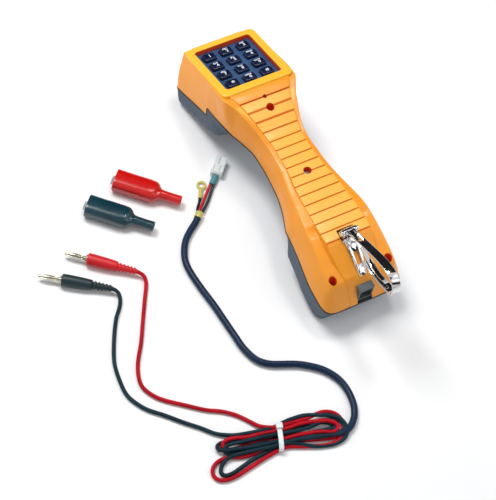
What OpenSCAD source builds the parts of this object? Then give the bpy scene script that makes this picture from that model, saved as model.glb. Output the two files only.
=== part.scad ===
// Lineman's test handset kit: handset with keypad and belt clip, line cord with banana plugs, two
// booted alligator clips. Millimetres, +Z up. The handset lies on its ear and mouth cups, its length
// along Y with the jack end towards -Y, and z = 0 is the bench.

/* [Handset] */
// Width across the widest part of the mouth cup
mouth_w = 68.8; // [66:0.2:72]
// Width across the ear cup
ear_w = 72.4; // [70:0.2:76]
// Thickness of the moulded shell walls
wall = 2.4; // [1.8:0.1:3]
// Tilt of the ear cup and keypad, in degrees
head_tilt = 18; // [16:0.5:19]

/* [Keypad] */
// Width of the keypad window
window_w = 47.8; // [46:0.2:49]
// Length of the keypad window
window_l = 53.2; // [52:0.2:54]
// Key cap width
key_w = 10; // [8:0.5:11]
// Key cap length
key_l = 8.2; // [7:0.2:9]
// Sideways pitch of the keys
key_pitch_x = 14.8; // [14:0.2:15]
// Lengthwise pitch of the keys
key_pitch_y = 12.5; // [12:0.1:13]
// How far a key goes in
key_travel = 1.2; // [0.6:0.1:1.3]

/* [Grip] */
// Number of grooves across the grip
groove_count = 16; // [10:1:16]
// Distance from one groove to the next
groove_pitch = 8.65; // [8:0.05:8.7]
// Depth of a groove
groove_depth = 0.9; // [0.5:0.1:1.2]

/* [Belt clip] */
// Width of the belt hook strap
strap_w = 7; // [5:0.5:8]
// Thickness of the belt hook strap
strap_t = 1.3; // [1:0.1:1.6]

/* [Line cord] */
// Diameter of the main cord
main_d = 5.2; // [4.6:0.1:5.6]
// Diameter of a lead
lead_d = 3; // [2.6:0.1:3.2]
// Diameter of a plug pin
pin_d = 4; // [3.9:0.1:4]
// Free length of a plug pin
pin_l = 17.4; // [15:0.2:19]

/* [Clips] */
// Length of a clip boot
boot_l = 53; // [50:1:56]
// Width of a clip boot
boot_w = 17.4; // [16:0.2:19]
// Height of a clip boot
boot_h = 12.6; // [12:0.2:15]
// Wall of a clip boot
boot_wall = 1.1; // [0.8:0.1:1.3]

/* [Hidden] */

// Place of the handset in the kit
handset_at = [57, -107.5, 0];
// Half width of the near end face, and the seal's half thickness
seal_t = 1;
// Centre of the head on the parting plane, and depths along the head's normal
head_y = 198;
head_z = 27.8;
bezel_h = 33.7;
rim_h = -17.4;
window_s = 0.2;
// Far end of the head along the parting plane
head_end_y = 232.6;
last_y = 229.6;

// Tables of [place along the handset, value]
spine_t = [[0, 23.2], [25, 29.9], [50, 36.4], [62, 38.5], [75, 39], [110, 39], [150, 39],
    [160, 38.6], [172, 36.2], [198, 27.8], [232.6, 16.6]];
tilt_t = [[0, 0], [136, 0], [146, 0.15], [156, 0.85], [166, 1], [229, 1], [232.6, 0.85]];
parting_t = [[0, 0], [160, 0], [170, 3], [180, 6], [187, 8], [189, 7.6], [190.4, 0], [240, 0]];
side_t = [[0, 0.72], [1, 0.83], [3, 0.905], [6, 0.955], [10, 0.98], [27, 1], [46, 0.955],
    [60, 0.93], [69, 0.91], [78, 0.815], [87, 0.73], [97, 0.663], [108, 0.625], [121, 0.597],
    [131, 0.597], [140, 0.613], [152, 0.713], [165, 0.84], [176, 0.92], [187, 0.965],
    [198, 0.985], [212, 1.022], [226, 1.06], [230, 1.065], [231.6, 1.04], [232.6, 0.985]];
rail_t = [[0, 20], [2, 23.5], [6, 26], [13, 27.5], [25, 27.6], [40, 27], [56, 26.2], [71, 24],
    [86, 21.6], [100, 19.1], [112, 17.5], [129, 16.6], [144, 19.1], [157, 25.6], [166, 31.2],
    [198, 30.8], [226, 29.6], [229.8, 29.2], [231.6, 28], [232.6, 25.5]];
rail_h_t = [[0, 1.2], [4, 9], [10, 18.4], [13, 20.2], [25, 22], [40, 23], [56, 22.2], [71, 20.4],
    [86, 18.8], [100, 18.8], [112, 20], [129, 20.6], [144, 23.2], [157, 29], [166, 32.2],
    [229.5, 32.2], [232.6, 30.5]];
panel_t = [[0, 12], [10, 14], [22, 17], [35, 18.6], [54, 18.5], [72, 17.6], [89, 16], [106, 13.6],
    [123, 12.9], [132, 13.4], [140, 14.7], [147, 16.4], [153, 18.7], [160, 22], [166, 25],
    [226, 25], [232.6, 20]];
top_t = [[0, 1.5], [10, 18], [11.5, 19.5], [34, 28.2], [38, 28.6], [50, 25.6], [60, 23.8],
    [72, 22.8], [90, 22.4], [123, 21.8], [138, 21.6], [146, 22], [153, 24.2], [160, 28],
    [164, 31], [166, 32.4], [231, 32.4], [232.6, 31.4]];
bottom_t = [[0, -1.5], [1, -3.4], [2, -5.8], [4, -11.2], [5.5, -15.1], [7.5, -20.4], [9.5, -25.3],
    [30, -25.7], [60, -24.7], [62, -23.6], [64, -20], [66, -15], [69, -10], [75, -8], [150, -8],
    [165, -8.2], [170, -8.8], [174, -10.6], [178, -13.8], [182, -16.8], [186, -18.4], [190, -18.8],
    [196, -18.4], [204, -17.4], [230.8, -17.4], [232.6, -15.4]];

// Half width at the foot of the lower shell's side
foot_t = [[0, 21], [1, 24], [2, 26], [5.5, 28.4], [9.5, 29.6], [12, 31.4], [16, 33], [25, 33.6],
    [44, 32.8], [60, 31.4], [66, 28], [75, 21], [87, 17], [97, 14.8], [108, 13.4], [121, 12.6],
    [131, 12.6], [140, 13.2], [152, 16.5], [165, 21], [174, 25.4], [180, 29.4], [187, 31.4], [232.6, 36.4]];

// Route points of the free cords on the bench, [x, y, z]
main_route = [[-11.6, 20.4, 3.1], [-15.4, 17, 3.1], [-19, 14, 2.8], [-25, 10, 2.6], [-32, 4, 2.6],
    [-37, -3, 2.6], [-41, -12, 2.6], [-42, -22, 2.6], [-41, -38, 2.6], [-39, -55, 2.6], [-38, -70, 2.6],
    [-37, -84, 2.6], [-36, -96, 2.6], [-32, -108, 2.6], [-25, -115, 2.6], [-17, -119, 2.6],
    [-8, -123, 2.6], [0, -128, 2.6], [9, -136, 2.6], [15, -146, 2.6], [17, -156, 2.6],
    [16, -166, 2.6], [12, -174, 2.6], [6, -180, 2.8], [1, -182, 3]];
red_route = [[-84.7, -1.7, 4.8], [-81.9, -4.1, 4.8], [-78.5, -7.1, 4.7], [-75.6, -11, 3.8], [-75.6, -15.6, 2.2],
    [-79, -22, 1.5], [-84, -30, 1.5], [-93, -45, 1.5], [-102, -60, 1.5], [-111, -73, 1.5], [-116, -84, 1.5],
    [-117, -93, 1.5], [-113, -102, 1.5], [-107, -109, 1.5], [-95, -119, 1.5], [-84, -128, 1.5],
    [-74, -134, 1.5], [-66, -141, 1.5], [-60, -149, 1.5], [-55, -156, 2], [-51, -161, 2.8]];
black_route = [[-108.1, -7.8, 4.8], [-105.1, -10, 4.8], [-101.5, -12.6, 4.7], [-99, -16.4, 3.6],
    [-100, -22, 1.8], [-104, -28, 1.5], [-110, -35, 1.5], [-119, -50, 1.5], [-127, -67, 1.5],
    [-130, -84, 1.5], [-130, -94, 1.5], [-127, -102, 1.5], [-122, -110, 1.5], [-113, -119, 1.5],
    [-103, -130, 1.5], [-94, -139, 1.5], [-87, -147, 1.6], [-80, -152, 2.2], [-75, -155, 3]];
red_tail_route = [[-11.4, 22.2, 3.2], [-6, 27, 2.2], [0, 33, 1.8], [5, 37.8, 1.8], [8, 40.4, 2.1]];
black_tail_route = [[-9.6, 20.4, 3], [-3.6, 25, 2.2], [3, 31.4, 1.8], [7, 35.8, 1.8],
    [9.8, 38.6, 2.1]];
stay_route = [[-12.9, 24, 2.8], [-10.2, 26.3, 2], [-7.7, 29, 1.7], [-5, 32.6, 1.7]];

function smooth_step(t) = t * t * (3 - 2 * t);
function norm2(v) = v / norm(v);

// Smooth curve through a table of [place, value], by Hermite pieces
function table_index(y, t, i = 0) = (i >= len(t) - 2 || y < t[i + 1][0]) ? i : table_index(y, t, i + 1);
function table_slope(t, i) = i <= 0 ? (t[1][1] - t[0][1]) / (t[1][0] - t[0][0])
    : i >= len(t) - 1 ? (t[i][1] - t[i - 1][1]) / (t[i][0] - t[i - 1][0])
    : (t[i + 1][1] - t[i - 1][1]) / (t[i + 1][0] - t[i - 1][0]);
function curve(y, t) = let (i = table_index(y, t), a = t[i], b = t[i + 1], w = b[0] - a[0],
    u = max(0, min(1, (y - a[0]) / w)))
    a[1] * (2 * u * u * u - 3 * u * u + 1) + table_slope(t, i) * w * (u * u * u - 2 * u * u + u)
    + b[1] * (3 * u * u - 2 * u * u * u) + table_slope(t, i + 1) * w * (u * u * u - u * u);

// Smooth curve through route points, by Catmull-Rom pieces
function route_point(p, i, u) = let (n = len(p) - 1, a = p[max(i - 1, 0)], b = p[i], c = p[min(i + 1, n)],
    d = p[min(i + 2, n)])
    0.5 * (2 * b + (c - a) * u + (2 * a - 5 * b + 4 * c - d) * u * u + (3 * b - a - 3 * c + d) * u * u * u);

// A point of the handset, from its place along the spine, half width and height above the spine
function tilt(y) = head_tilt * lookup(y, tilt_t);
function on_spine(y, x, h) = [x, y + h * sin(tilt(y)), curve(y, spine_t) + h * cos(tilt(y))];
// The mouth cup stands on a flat rim tilted up by this many degrees
mouth_tilt = 15;
rim_y = 9.5;
function bottom(y) = (y >= rim_y && y <= 60) ? 0.05 + (y - rim_y) * tan(mouth_tilt) - curve(y, spine_t)
    : lookup(y, bottom_t);
function half_w(y) = mouth_w / 2 * lookup(y, side_t);
// Half outlines of the two shells, from the parting line to the middle, inset by d
function upper_half(y, d) = let (p = lookup(y, parting_t), w = half_w(y) - d, r = lookup(y, rail_t) - d,
    rh = curve(y, rail_h_t) - d, g = lookup(y, panel_t) - d, top = lookup(y, top_t) - d,
    low = d > 0 ? p - 1 : p + seal_t / 2, low_h = max(rh, low + 0.3), top_h = max(top, low + 0.5))
    [[w, low], [max(w - 0.25 * (w - r), r), low + 0.45 * (low_h - low)], [r, low_h],
    [max(r - 0.55 * (r - g), g + 0.6), max(min(top_h - 0.6, rh + 1.6), low_h + 0.02)],
    [g + 0.3, max(top_h - 1.1, low_h + 0.04)], [g, max(top_h, low_h + 0.3)]];
function lower_half(y, d) = let (p = lookup(y, parting_t), w = half_w(y) - d, b = bottom(y) + d,
    high = d > 0 ? p + 1 : p - seal_t / 2, low_h = min(b, high - 0.6), soft = min(3.2, (high - low_h) * 0.6),
    foot = min(w - 0.6, lookup(y, foot_t) - d))
    [[w, high], [max(0.5 * (w + foot) + 0.2, foot + 0.3), high - 0.5 * (high - low_h)], [foot, low_h + soft],
    [foot - soft * 0.75, low_h]];
function mirror_half(half) = concat(half, [for (i = [len(half) - 1:-1:0]) [-half[i][0], half[i][1]]]);
body_stations = concat([0, 0.5, 1, 2, 3, 4, 5.5, 7.5, 9.5, 11.5, 13, 16, 20, 25, 30, 34, 38, 44, 50, 56, 60, 62,
    64, 66, 69, 72, 75, 79], [for (y = [84:6:138]) y], [for (y = [141:3:165]) y], [166, 169, 172,
    176, 181, 184, 187, 189, 190.4, 194, 200, 206, 214, 222, 227, 229.8, 230.8, 231.6, 232.6]);
inner_stations = concat([6.2, 8, 10, 12.4, 14, 18, 24, 34, 38, 44, 50, 56, 59.4], [for (y = [64:8:136]) y],
    [for (y = [140:4:164]) y], [168, 172, 176, 181, 187, 189, 190.4, 196, 206, 218, 226, 228, last_y]);

// A closed skin over rings of points, every ring of equal length
module skin(rings) {
    m = len(rings[0]);
    n = len(rings);
    e = (n - 1) * m;
    polyhedron(points = [for (r = rings) for (p = r) p], faces = concat(
        [for (j = [0:m / 2 - 2]) each [[m - 2 - j, j + 1, j], [m - 1 - j, m - 2 - j, j]]],
        [for (j = [0:m / 2 - 2]) each [[e + j, e + j + 1, e + m - 2 - j], [e + j, e + m - 2 - j, e + m - 1 - j]]],
        [for (i = [0:n - 2]) for (j = [0:m - 1]) let (k = (j + 1) % m)
            each [[i * m + j, i * m + k, (i + 1) * m + k], [i * m + j, (i + 1) * m + k, (i + 1) * m + j]]]),
        convexity = 6);
}
module upper_skin(d, stations) skin([for (y = stations) [for (q = mirror_half(upper_half(y, d))) on_spine(y, q[0], q[1])]]);
module lower_skin(d, stations) skin([for (y = stations) let (ring = mirror_half(lower_half(y, d)), m = len(ring))
    [for (j = [m - 1:-1:0]) on_spine(y, ring[j][0], ring[j][1])]]);

// A tube along a route, a few rings to each stretch between points
module tube(route, d, sides, steps) {
    samples = concat([for (i = [0:len(route) - 2]) for (k = [0:steps - 1]) route_point(route, i, k / steps)],
        [route[len(route) - 1]]);
    n = len(samples) - 1;
    rings = [for (i = [0:n]) let (t = norm2(samples[min(i + 1, n)] - samples[max(i - 1, 0)]),
        s = norm2(cross([0, 0, 1], t)), u = cross(t, s))
        [for (k = [0:sides - 1]) let (a = 360 * (k + 0.5) / sides)
            samples[i] + d / 2 * (s * cos(a) + u * sin(a))]];
    mirrored = [for (r = rings) [for (k = [sides - 1:-1:0]) r[k]]];
    skin(mirrored);
}
// A block with round upright edges
module round_block(x, y, z, r) {
    linear_extrude(z) {
        square([x - 2 * r, y], center = true);
        square([x, y - 2 * r], center = true);
        for (sx = [-1, 1]) for (sy = [-1, 1])
            translate([sx * (x / 2 - r), sy * (y / 2 - r)]) circle(r, $fn = 24);
    }
}
// Places children in the handset, or in the head's own frame with z along its normal
module in_handset() translate(handset_at) children();
module in_head() in_handset() translate([0, head_y, head_z]) rotate([-head_tilt, 0, 0]) children();
module in_mouth() in_handset() translate([0, 34, 0.05 + (34 - rim_y) * tan(mouth_tilt)]) rotate([mouth_tilt, 0, 0]) children();

// Screw places: [x, y, height of the screw seat, depth of the boss foot]
centre_screws = [[0, 157.6, 54], [0, 98.6, 54]];
mouth_screws = [[-23.6, 14.5, 36], [23.6, 14.5, 36]];
all_screws = concat(centre_screws, mouth_screws);
function boss_joint(s) = s[2] < 40 ? 27 : 39;
function lower_foot(s) = s[2] < 40 ? 4 : 32.4;
module upper_bosses() for (s = all_screws) translate([s[0], s[1], 0]) {
    translate([0, 0, boss_joint(s) + 0.2]) cylinder(h = 40, r = 4.4, $fn = 32);
    if (s[2] > 40) translate([0, 0, 44.6]) cylinder(h = 30, r = 6, $fn = 32);
}
module lower_bosses() for (s = all_screws) translate([s[0], s[1], lower_foot(s)])
    cylinder(h = boss_joint(s) - lower_foot(s), r = 4, $fn = 32);
lamp_y = 166.8;

module upper_shell() color("orange") {
    difference() {
        union() {
            difference() {
                in_handset() upper_skin(0, body_stations);
                in_handset() upper_skin(wall, inner_stations);
            }
            in_handset() intersection() {
                upper_bosses();
                upper_skin(0.6, body_stations);
            }
            in_head() translate([0, window_s, 23.2]) round_block(window_w + 5, window_l + 5, 9, 2);
            in_head() translate([0, -0.6, bezel_h - 1.9]) round_block(60.6, 66, 1.9, 5);
        }
        in_head() translate([0, window_s, 20]) round_block(window_w - 3, window_l - 3, 20, 2);
        in_head() translate([0, window_s, bezel_h - 6]) round_block(window_w, window_l, 10, 2);
        in_handset() for (s = all_screws) {
            translate([s[0], s[1], s[2]]) cylinder(h = 40, r = 3.2, $fn = 32);
            translate([s[0], s[1], 20]) cylinder(h = 60, r = 1.8, $fn = 32);
        }
        in_handset() for (i = [0:groove_count - 1])
            translate([0, 37 + i * groove_pitch, 0]) grip_groove(37 + i * groove_pitch);
        in_handset() translate([0, lamp_y, 50]) cylinder(h = 30, r = 1.55, $fn = 24);
        in_handset() translate([-6.3, -3, 15]) cube([12.6, 20, 24.5]);
        in_handset() translate([-7, 33, 59]) cube([14, 10.8, 12]);
    }
}
// A groove is a thin wedge that follows the height of the panel
module grip_groove(y) {
    h = lookup(y, [[37, 61.9], [46, 62], [72, 61.6], [106, 61.2], [140, 60.8], [150, 61.5],
        [158.4, 63.5], [166.8, 66.8]]);
    w = lookup(y, [[37, 18.2], [54, 18.1], [72, 17.2], [89, 15.7], [106, 13.3], [123, 12.7],
        [132, 13.1], [141, 14.4], [150, 16.2], [158, 18.6], [166.8, 21.6]]);
    translate([-w, -0.5, h - groove_depth]) cube([2 * w, 1, 6]);
}
module lower_shell() color("slategray") {
    difference() {
        union() {
            difference() {
                in_handset() lower_skin(0, body_stations);
                in_handset() lower_skin(wall, inner_stations);
            }
            in_handset() lower_bosses();
        }
        in_handset() for (s = all_screws) translate([s[0], s[1], lower_foot(s) + 1.6]) cylinder(h = 30, r = 1.25, $fn = 24);
        in_head() translate([0, 14.5, 0]) for (k = [0:5]) rotate([0, 0, 60 * k]) translate([7, 0, -30]) cylinder(h = 20, r = 1.3, $fn = 16);
        in_mouth() for (k = [0:4]) rotate([0, 0, 72 * k]) translate([5, 0, -6]) cylinder(h = 12, r = 1.1, $fn = 16);
        in_handset() translate([0, 130, 28]) round_block(5, 15, 8, 1);
        in_handset() translate([0, 85, 28]) round_block(3.6, 9, 8, 1);
        in_handset() translate([0, 110, 28]) cylinder(h = 8, r = 3.3, $fn = 32);
    }
}
// The seal is a thin ring that follows the parting line round the whole case
seal_stations = [for (y = body_stations) if (y < 1 || y > 1.5) y];
module shell_seal() color("black") in_handset() {
    right = [for (y = seal_stations) [half_w(y), y]];
    n = len(right) - 1;
    ring = concat(right, [for (i = [n:-1:0]) [-right[i][0], right[i][1]]]);
    m = len(ring);
    rings = [for (i = [0:m - 1]) let (y = ring[i][1], side = sign(ring[i][0]), w = abs(ring[i][0]),
        inset = min(wall - 0.2, w), yi = max(2.2, min(230.6, y)),
        h = lookup(y, parting_t), hi = lookup(yi, parting_t), wi = half_w(yi) - inset)
        [on_spine(y, side * (w + 0.05), h - seal_t / 2), on_spine(yi, side * wi, hi - seal_t / 2),
        on_spine(yi, side * wi, hi + seal_t / 2), on_spine(y, side * (w + 0.05), h + seal_t / 2)]];
    polyhedron(points = [for (r = rings) for (p = r) p], faces = [for (i = [0:m - 1]) for (j = [0:3])
        let (k = (j + 1) % 4, e = (i + 1) % m)
        each [[i * 4 + j, e * 4 + k, i * 4 + k], [i * 4 + j, e * 4 + j, e * 4 + k]]]);
}

// Keypad: plate, keys, membrane and board, all in the head's frame
plate_h = bezel_h - 6;
function key_at(c, r) = [(c - 1) * key_pitch_x, window_s + (1.5 - r) * key_pitch_y, 0];
module keypad_plate() color("steelblue") in_head() difference() {
    translate([0, window_s, plate_h]) round_block(window_w - 0.3, window_l - 0.3, 1.6, 1.8);
    for (c = [0:2]) for (r = [0:3]) translate(key_at(c, r) + [0, 0, plate_h - 1])
        round_block(key_w + 0.7, key_l + 0.7, 4, 1.5);
}
module key_cap(c, r) color("midnightblue") in_head() translate(key_at(c, r)) {
    translate([0, 0, plate_h - 0.4]) round_block(key_w, key_l, 4.6, 1.2);
    translate([0, 0, plate_h - 1.4]) round_block(key_w + 2, key_l + 2, 1, 1.2);
    translate([0, 0, plate_h - 2]) cylinder(h = 1.6, r = 2, $fn = 24);
}
module key_1() key_cap(0, 0);
module key_2() key_cap(1, 0);
module key_3() key_cap(2, 0);
module key_4() key_cap(0, 1);
module key_5() key_cap(1, 1);
module key_6() key_cap(2, 1);
module key_7() key_cap(0, 2);
module key_8() key_cap(1, 2);
module key_9() key_cap(2, 2);
module key_star() key_cap(0, 3);
module key_0() key_cap(1, 3);
module key_hash() key_cap(2, 3);
board_h = 23.2;
module key_membrane() color("dimgray") in_head()
    translate([0, window_s, board_h]) round_block(window_w - 3.6, window_l - 3.6, 0.8, 1.5);
module keypad_board() color("green") in_head() {
    translate([0, window_s, board_h - 1.6]) round_block(window_w + 4, window_l + 4, 1.6, 1.5);
    translate([-6, window_s + 4, board_h - 4.4]) cube([12, 12, 3]);
}
module status_lamp() color("darkred") in_handset() translate([0, lamp_y, 59.6]) {
    cylinder(h = 7, r = 1.5, $fn = 24);
    cylinder(h = 1.4, r = 2.2, $fn = 24);
}
module case_screws() color("silver") in_handset() for (s = all_screws) translate([s[0], s[1], 0]) {
    difference() {
        translate([0, 0, s[2]]) cylinder(h = 2.2, r = 2.9, $fn = 24);
        translate([0, 0, s[2] + 1]) cylinder(h = 3, r = 1.2, $fn = 6);
    }
    translate([0, 0, lower_foot(s) + 2]) cylinder(h = s[2] - lower_foot(s) - 2, r = 1.4, $fn = 24);
}
module main_board() color("green") in_handset() {
    difference() {
        translate([-11, 84, 43]) cube([22, 66, 1.6]);
        translate([0, 98.6, 40]) cylinder(h = 8, r = 4.7, $fn = 32);
    }
    translate([-6, 112, 44.6]) cube([12, 14, 5]);
    for (x = [-7, 7]) translate([x, 138, 44.6]) cylinder(h = 6, r = 3, $fn = 24);
}
module receiver_capsule() color("gainsboro") in_head() translate([0, 14.5, rim_h + wall + 0.2]) {
    cylinder(h = 7, r = 15, $fn = 48);
    translate([0, 0, 7]) cylinder(h = 3, r = 7, $fn = 32);
}
module mic_capsule() color("gainsboro") in_mouth() translate([0, 0, wall]) cylinder(h = 6, r = 9, $fn = 40);

// Modular jack in the near end face
module jack_housing() color("darkslategray") in_handset() difference() {
    translate([-6.3, 1.6, 24.6]) cube([12.6, 15, 14.9]);
    translate([-4.9, -1, 27]) cube([9.8, 13, 9.2]);
}
module jack_contacts() color("gold") in_handset() for (i = [-1.5:1:1.5])
    translate([i * 1.6 - 0.25, 3.5, 35]) cube([0.5, 8.5, 1.2]);

// Belt clip: bracket on the sloped top of the mouth end, hinge pin, hook and spring gate
pin_y = 38;
pin_z = 66;
slope_y = 10.6;
slope_z = 45.4;
slope_a = atan2(61.6 - slope_z, 35 - slope_y);
module on_slope() in_handset() translate([0, slope_y, slope_z]) rotate([slope_a, 0, 0]) children();
slope_l = 29.4;
module clip_bracket() color("silver") {
    difference() {
        union() {
            on_slope() translate([0, 0, 0.3]) linear_extrude(1.05)
                polygon([[-3, 0], [3, 0], [6, slope_l], [-6, slope_l]]);
            in_handset() for (x = [-6, 4.2]) translate([x, pin_y, pin_z]) rotate([0, 90, 0]) cylinder(h = 1.8, r = 2.6, $fn = 32);
            in_handset() for (x = [-6, 4.2]) translate([x, pin_y - 2.6, 59.2]) cube([1.8, 5.2, pin_z - 59.2]);
            in_handset() translate([-6, 33.2, 59.2]) cube([12, 7.4, 1.2]);
            in_handset() translate([-6, 33.2, 59.2]) cube([12, 1.4, 3]);
        }
        in_handset() translate([-8, pin_y, pin_z]) rotate([0, 90, 0]) cylinder(h = 16, r = 1.5, $fn = 32);
        for (t = [4.4, 23]) on_slope() translate([0, t, -1]) cylinder(h = 4, r = 1.05, $fn = 24);
        on_slope() translate([0, 13.6, -1]) round_block(4, 10, 4, 1);
    }
}
module clip_rivets() color("silver") for (t = [4.4, 23]) on_slope() translate([0, t, 0]) {
    translate([0, 0, -1.5]) cylinder(h = 3, r = 1, $fn = 24);
    translate([0, 0, 1.35]) cylinder(h = 0.8, r = 1.9, $fn = 24);
}
module clip_pin() color("silver") in_handset() translate([-6.6, pin_y, pin_z]) rotate([0, 90, 0]) {
    cylinder(h = 13.2, r = 1.5, $fn = 32);
    for (z = [-0.8, 13.2]) translate([0, 0, z]) cylinder(h = 0.8, r = 2, $fn = 32);
}
// The strap's bend in the plane of the clip, [y, z]
hook_path = [[37, 68.2], [33, 70], [25, 74.2], [14, 79.4], [4, 84], [-6, 87.6], [-14, 88.8], [-20.5, 87],
    [-24.4, 82.6], [-25, 77.4], [-22.6, 73.6], [-17, 70.9], [-9, 67.6], [-1, 65.4], [5, 65.2], [11, 66.2]];
gate_path = [[37, 68.2], [33, 69.5], [26, 70.2], [18, 69.6], [9, 67.9], [0, 67.9], [-8, 70.2], [-14, 73.4]];
// A strap of one thickness along a bent path
module strap(path, t, w) {
    n = len(path) - 1;
    p3 = [for (q = path) [q[0], q[1], 0]];
    line = concat([for (i = [0:n - 1]) for (k = [0:3]) route_point(p3, i, k / 4)], [p3[n]]);
    m = len(line) - 1;
    function side(i) = let (v = norm2(line[min(i + 1, m)] - line[max(i - 1, 0)])) [-v[1], v[0]];
    rotate([90, 0, 90]) translate([0, 0, -w / 2]) linear_extrude(w) polygon(concat(
        [for (i = [0:m]) [line[i][0], line[i][1]] + side(i) * t / 2],
        [for (i = [m:-1:0]) [line[i][0], line[i][1]] - side(i) * t / 2]));
}
module knuckle(x, w) difference() {
    translate([x, pin_y, pin_z]) rotate([0, 90, 0]) cylinder(h = w, r = 2.8, $fn = 32);
    translate([x - 1, pin_y, pin_z]) rotate([0, 90, 0]) cylinder(h = w + 2, r = 1.56, $fn = 32);
}
module clip_hook() color("silver") in_handset() {
    difference() {
        strap(hook_path, strap_t, strap_w);
        translate([-2.1, 22, 60]) cube([4.2, 26, 20]);
    }
    knuckle(-3.9, 1.7);
    knuckle(2.2, 1.7);
}
module clip_gate() color("silver") in_handset() {
    strap(gate_path, 0.7, 3.4);
    knuckle(-1.9, 3.8);
}
module talk_switch() color("dimgray") in_handset() {
    translate([0, 130, 27.6]) round_block(7.6, 9, 3, 1);
    translate([0, 130, 30]) round_block(4.6, 6, 5.6, 1);
    translate([0, 130, 33.9]) round_block(9, 8, 1.6, 1);
}
module dial_switch() color("dimgray") in_handset() {
    translate([0, 85, 28.2]) round_block(3, 4, 6, 0.8);
    translate([0, 85, 34]) round_block(6, 7, 1.4, 0.8);
}
module mute_button() color("dimgray") in_handset() translate([0, 110, 0]) {
    translate([0, 0, 29]) cylinder(h = 5, r = 3, $fn = 32);
    translate([0, 0, 33.8]) cylinder(h = 1.4, r = 4.2, $fn = 32);
}

// Line cord set
module main_cord() color("darkslateblue") tube(main_route, main_d, 10, 2);
module red_lead() color("crimson") tube(red_route, lead_d, 8, 2);
module black_lead() color("darkslategray") tube(black_route, lead_d, 8, 2);
hank_h = 6.6;
module lead_hank() color("darkslategray") difference() {
    hank_outline();
    translate([tie_at[0], tie_at[1], -1]) rotate([0, 0, 90 - tie_a]) translate([-14, -2.1, 0]) cube([28, 4.2, 2.1]);
}
module hank_outline() {
    linear_extrude(hank_h) hull() {
        translate([-47, -170.5]) circle(8.5, $fn = 24);
        translate([-80, -161.5]) circle(8.5, $fn = 24);
    }
    linear_extrude(hank_h) hull() {
        translate([-47, -170.5]) circle(8.5, $fn = 24);
        translate([-12, -181]) circle(12, $fn = 24);
    }
    linear_extrude(lead_d + 0.4) hull() {
        translate([-54, -174]) circle(5, $fn = 24);
        translate([-94, -176]) circle(8.5, $fn = 24);
    }
}
tie_at = [-47, -170.8];
tie_a = 19;
module cable_tie() color("white") translate([tie_at[0], tie_at[1], 0]) rotate([0, 0, 90 - tie_a]) {
    difference() {
        translate([-10.4, -1.8, 0]) cube([20.8, 3.6, hank_h + 1.8]);
        translate([-9.4, -3, 0.9]) cube([18.8, 6, hank_h]);
    }
    translate([7, -2.6, hank_h + 1.2]) cube([4.6, 5.2, 3]);
}
sleeve_a = 42;
module cord_sleeve() color("khaki") translate([-13.5, 18.7, 3.1]) rotate([0, 90, sleeve_a]) difference() {
    translate([0, 0, -2.6]) cylinder(h = 5.2, r = 3.1, $fn = 32);
    translate([0, 0, -3]) cylinder(h = 6, r = 2.62, $fn = 32);
}
module red_tail() color("crimson") tube(red_tail_route, 2.2, 8, 3);
module black_tail() color("darkslategray") tube(black_tail_route, 2.2, 8, 3);
module stay_strand() color("black") tube(stay_route, 2, 8, 3);
lug_a = 57;
module stay_lug() color("khaki") translate([-5, 32.6, 0]) rotate([0, 0, lug_a]) {
    translate([0, 0, 1.7]) rotate([0, 90, 0]) cylinder(h = 7, r = 1.7, $fn = 32);
    difference() {
        union() {
            translate([12.6, 0, 0.6]) cylinder(h = 1, r = 3.9, $fn = 40);
            translate([6, -1.6, 0.6]) cube([5, 3.2, 1]);
        }
        translate([12.6, 0, 0]) cylinder(h = 3, r = 2.1, $fn = 32);
    }
}
module shrink_sleeve() color("cadetblue") translate([9.2, 39.8, 0]) rotate([0, 0, 43])
    translate([0, 0, 2.1]) rotate([0, 90, 0]) linear_extrude(8.5) scale([0.72, 1]) circle(2.7, $fn = 32);
module line_connector() color("whitesmoke") translate([15.6, 46, 0]) rotate([0, 0, 45]) difference() {
    translate([0, -4.6, 0]) cube([15.5, 9.2, 7]);
    for (y = [-2.2, 2.2]) translate([6, y, 3.6]) rotate([0, 90, 0]) cylinder(h = 12, r = 1.5, $fn = 24);
    translate([8, -1, 6]) cube([8, 2, 2]);
}

// Banana plugs
plug_z = 4.8;
module plug_at(at, a) translate([at[0], at[1], plug_z]) rotate([0, 0, a]) rotate([0, 90, 0]) children();
module plug_body() {
    difference() {
        rotate_extrude($fn = 48) polygon([[0, 0], [4.3, 0], [4.75, 0.8], [4.6, 12], [3.9, 22.4], [3.5, 23],
            [2.8, 23], [2.8, 24.6], [3.2, 24.8], [3.2, 26.8], [2.6, 27], [2.6, 28.6], [3, 28.8], [3, 30.8],
            [2.4, 31], [2.4, 32.6], [2.7, 32.8], [2.7, 34.6], [2.2, 34.8], [2.1, 38], [0, 38]]);
        translate([0, 0, 30]) cylinder(h = 10, r = lead_d / 2 + 0.02, $fn = 32);
        translate([0, 0, -1]) cylinder(h = 9, r = pin_d / 2 + 0.02, $fn = 32);
    }
}
module plug_pin() {
    translate([0, 0, -pin_l]) cylinder(h = pin_l + 7, r = pin_d / 2, $fn = 40);
    translate([0, 0, -1.2]) cylinder(h = 1.2, r = 3, $fn = 40);
}
red_plug = [-107.6, 18.2];
black_plug = [-132.6, 10];
red_plug_a = -41;
black_plug_a = -36;
module red_plug_body() color("crimson") plug_at(red_plug, red_plug_a) plug_body();
module red_plug_pin() color("silver") plug_at(red_plug, red_plug_a) plug_pin();
module black_plug_body() color("darkslategray") plug_at(black_plug, black_plug_a) plug_body();
module black_plug_pin() color("silver") plug_at(black_plug, black_plug_a) plug_pin();

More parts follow.
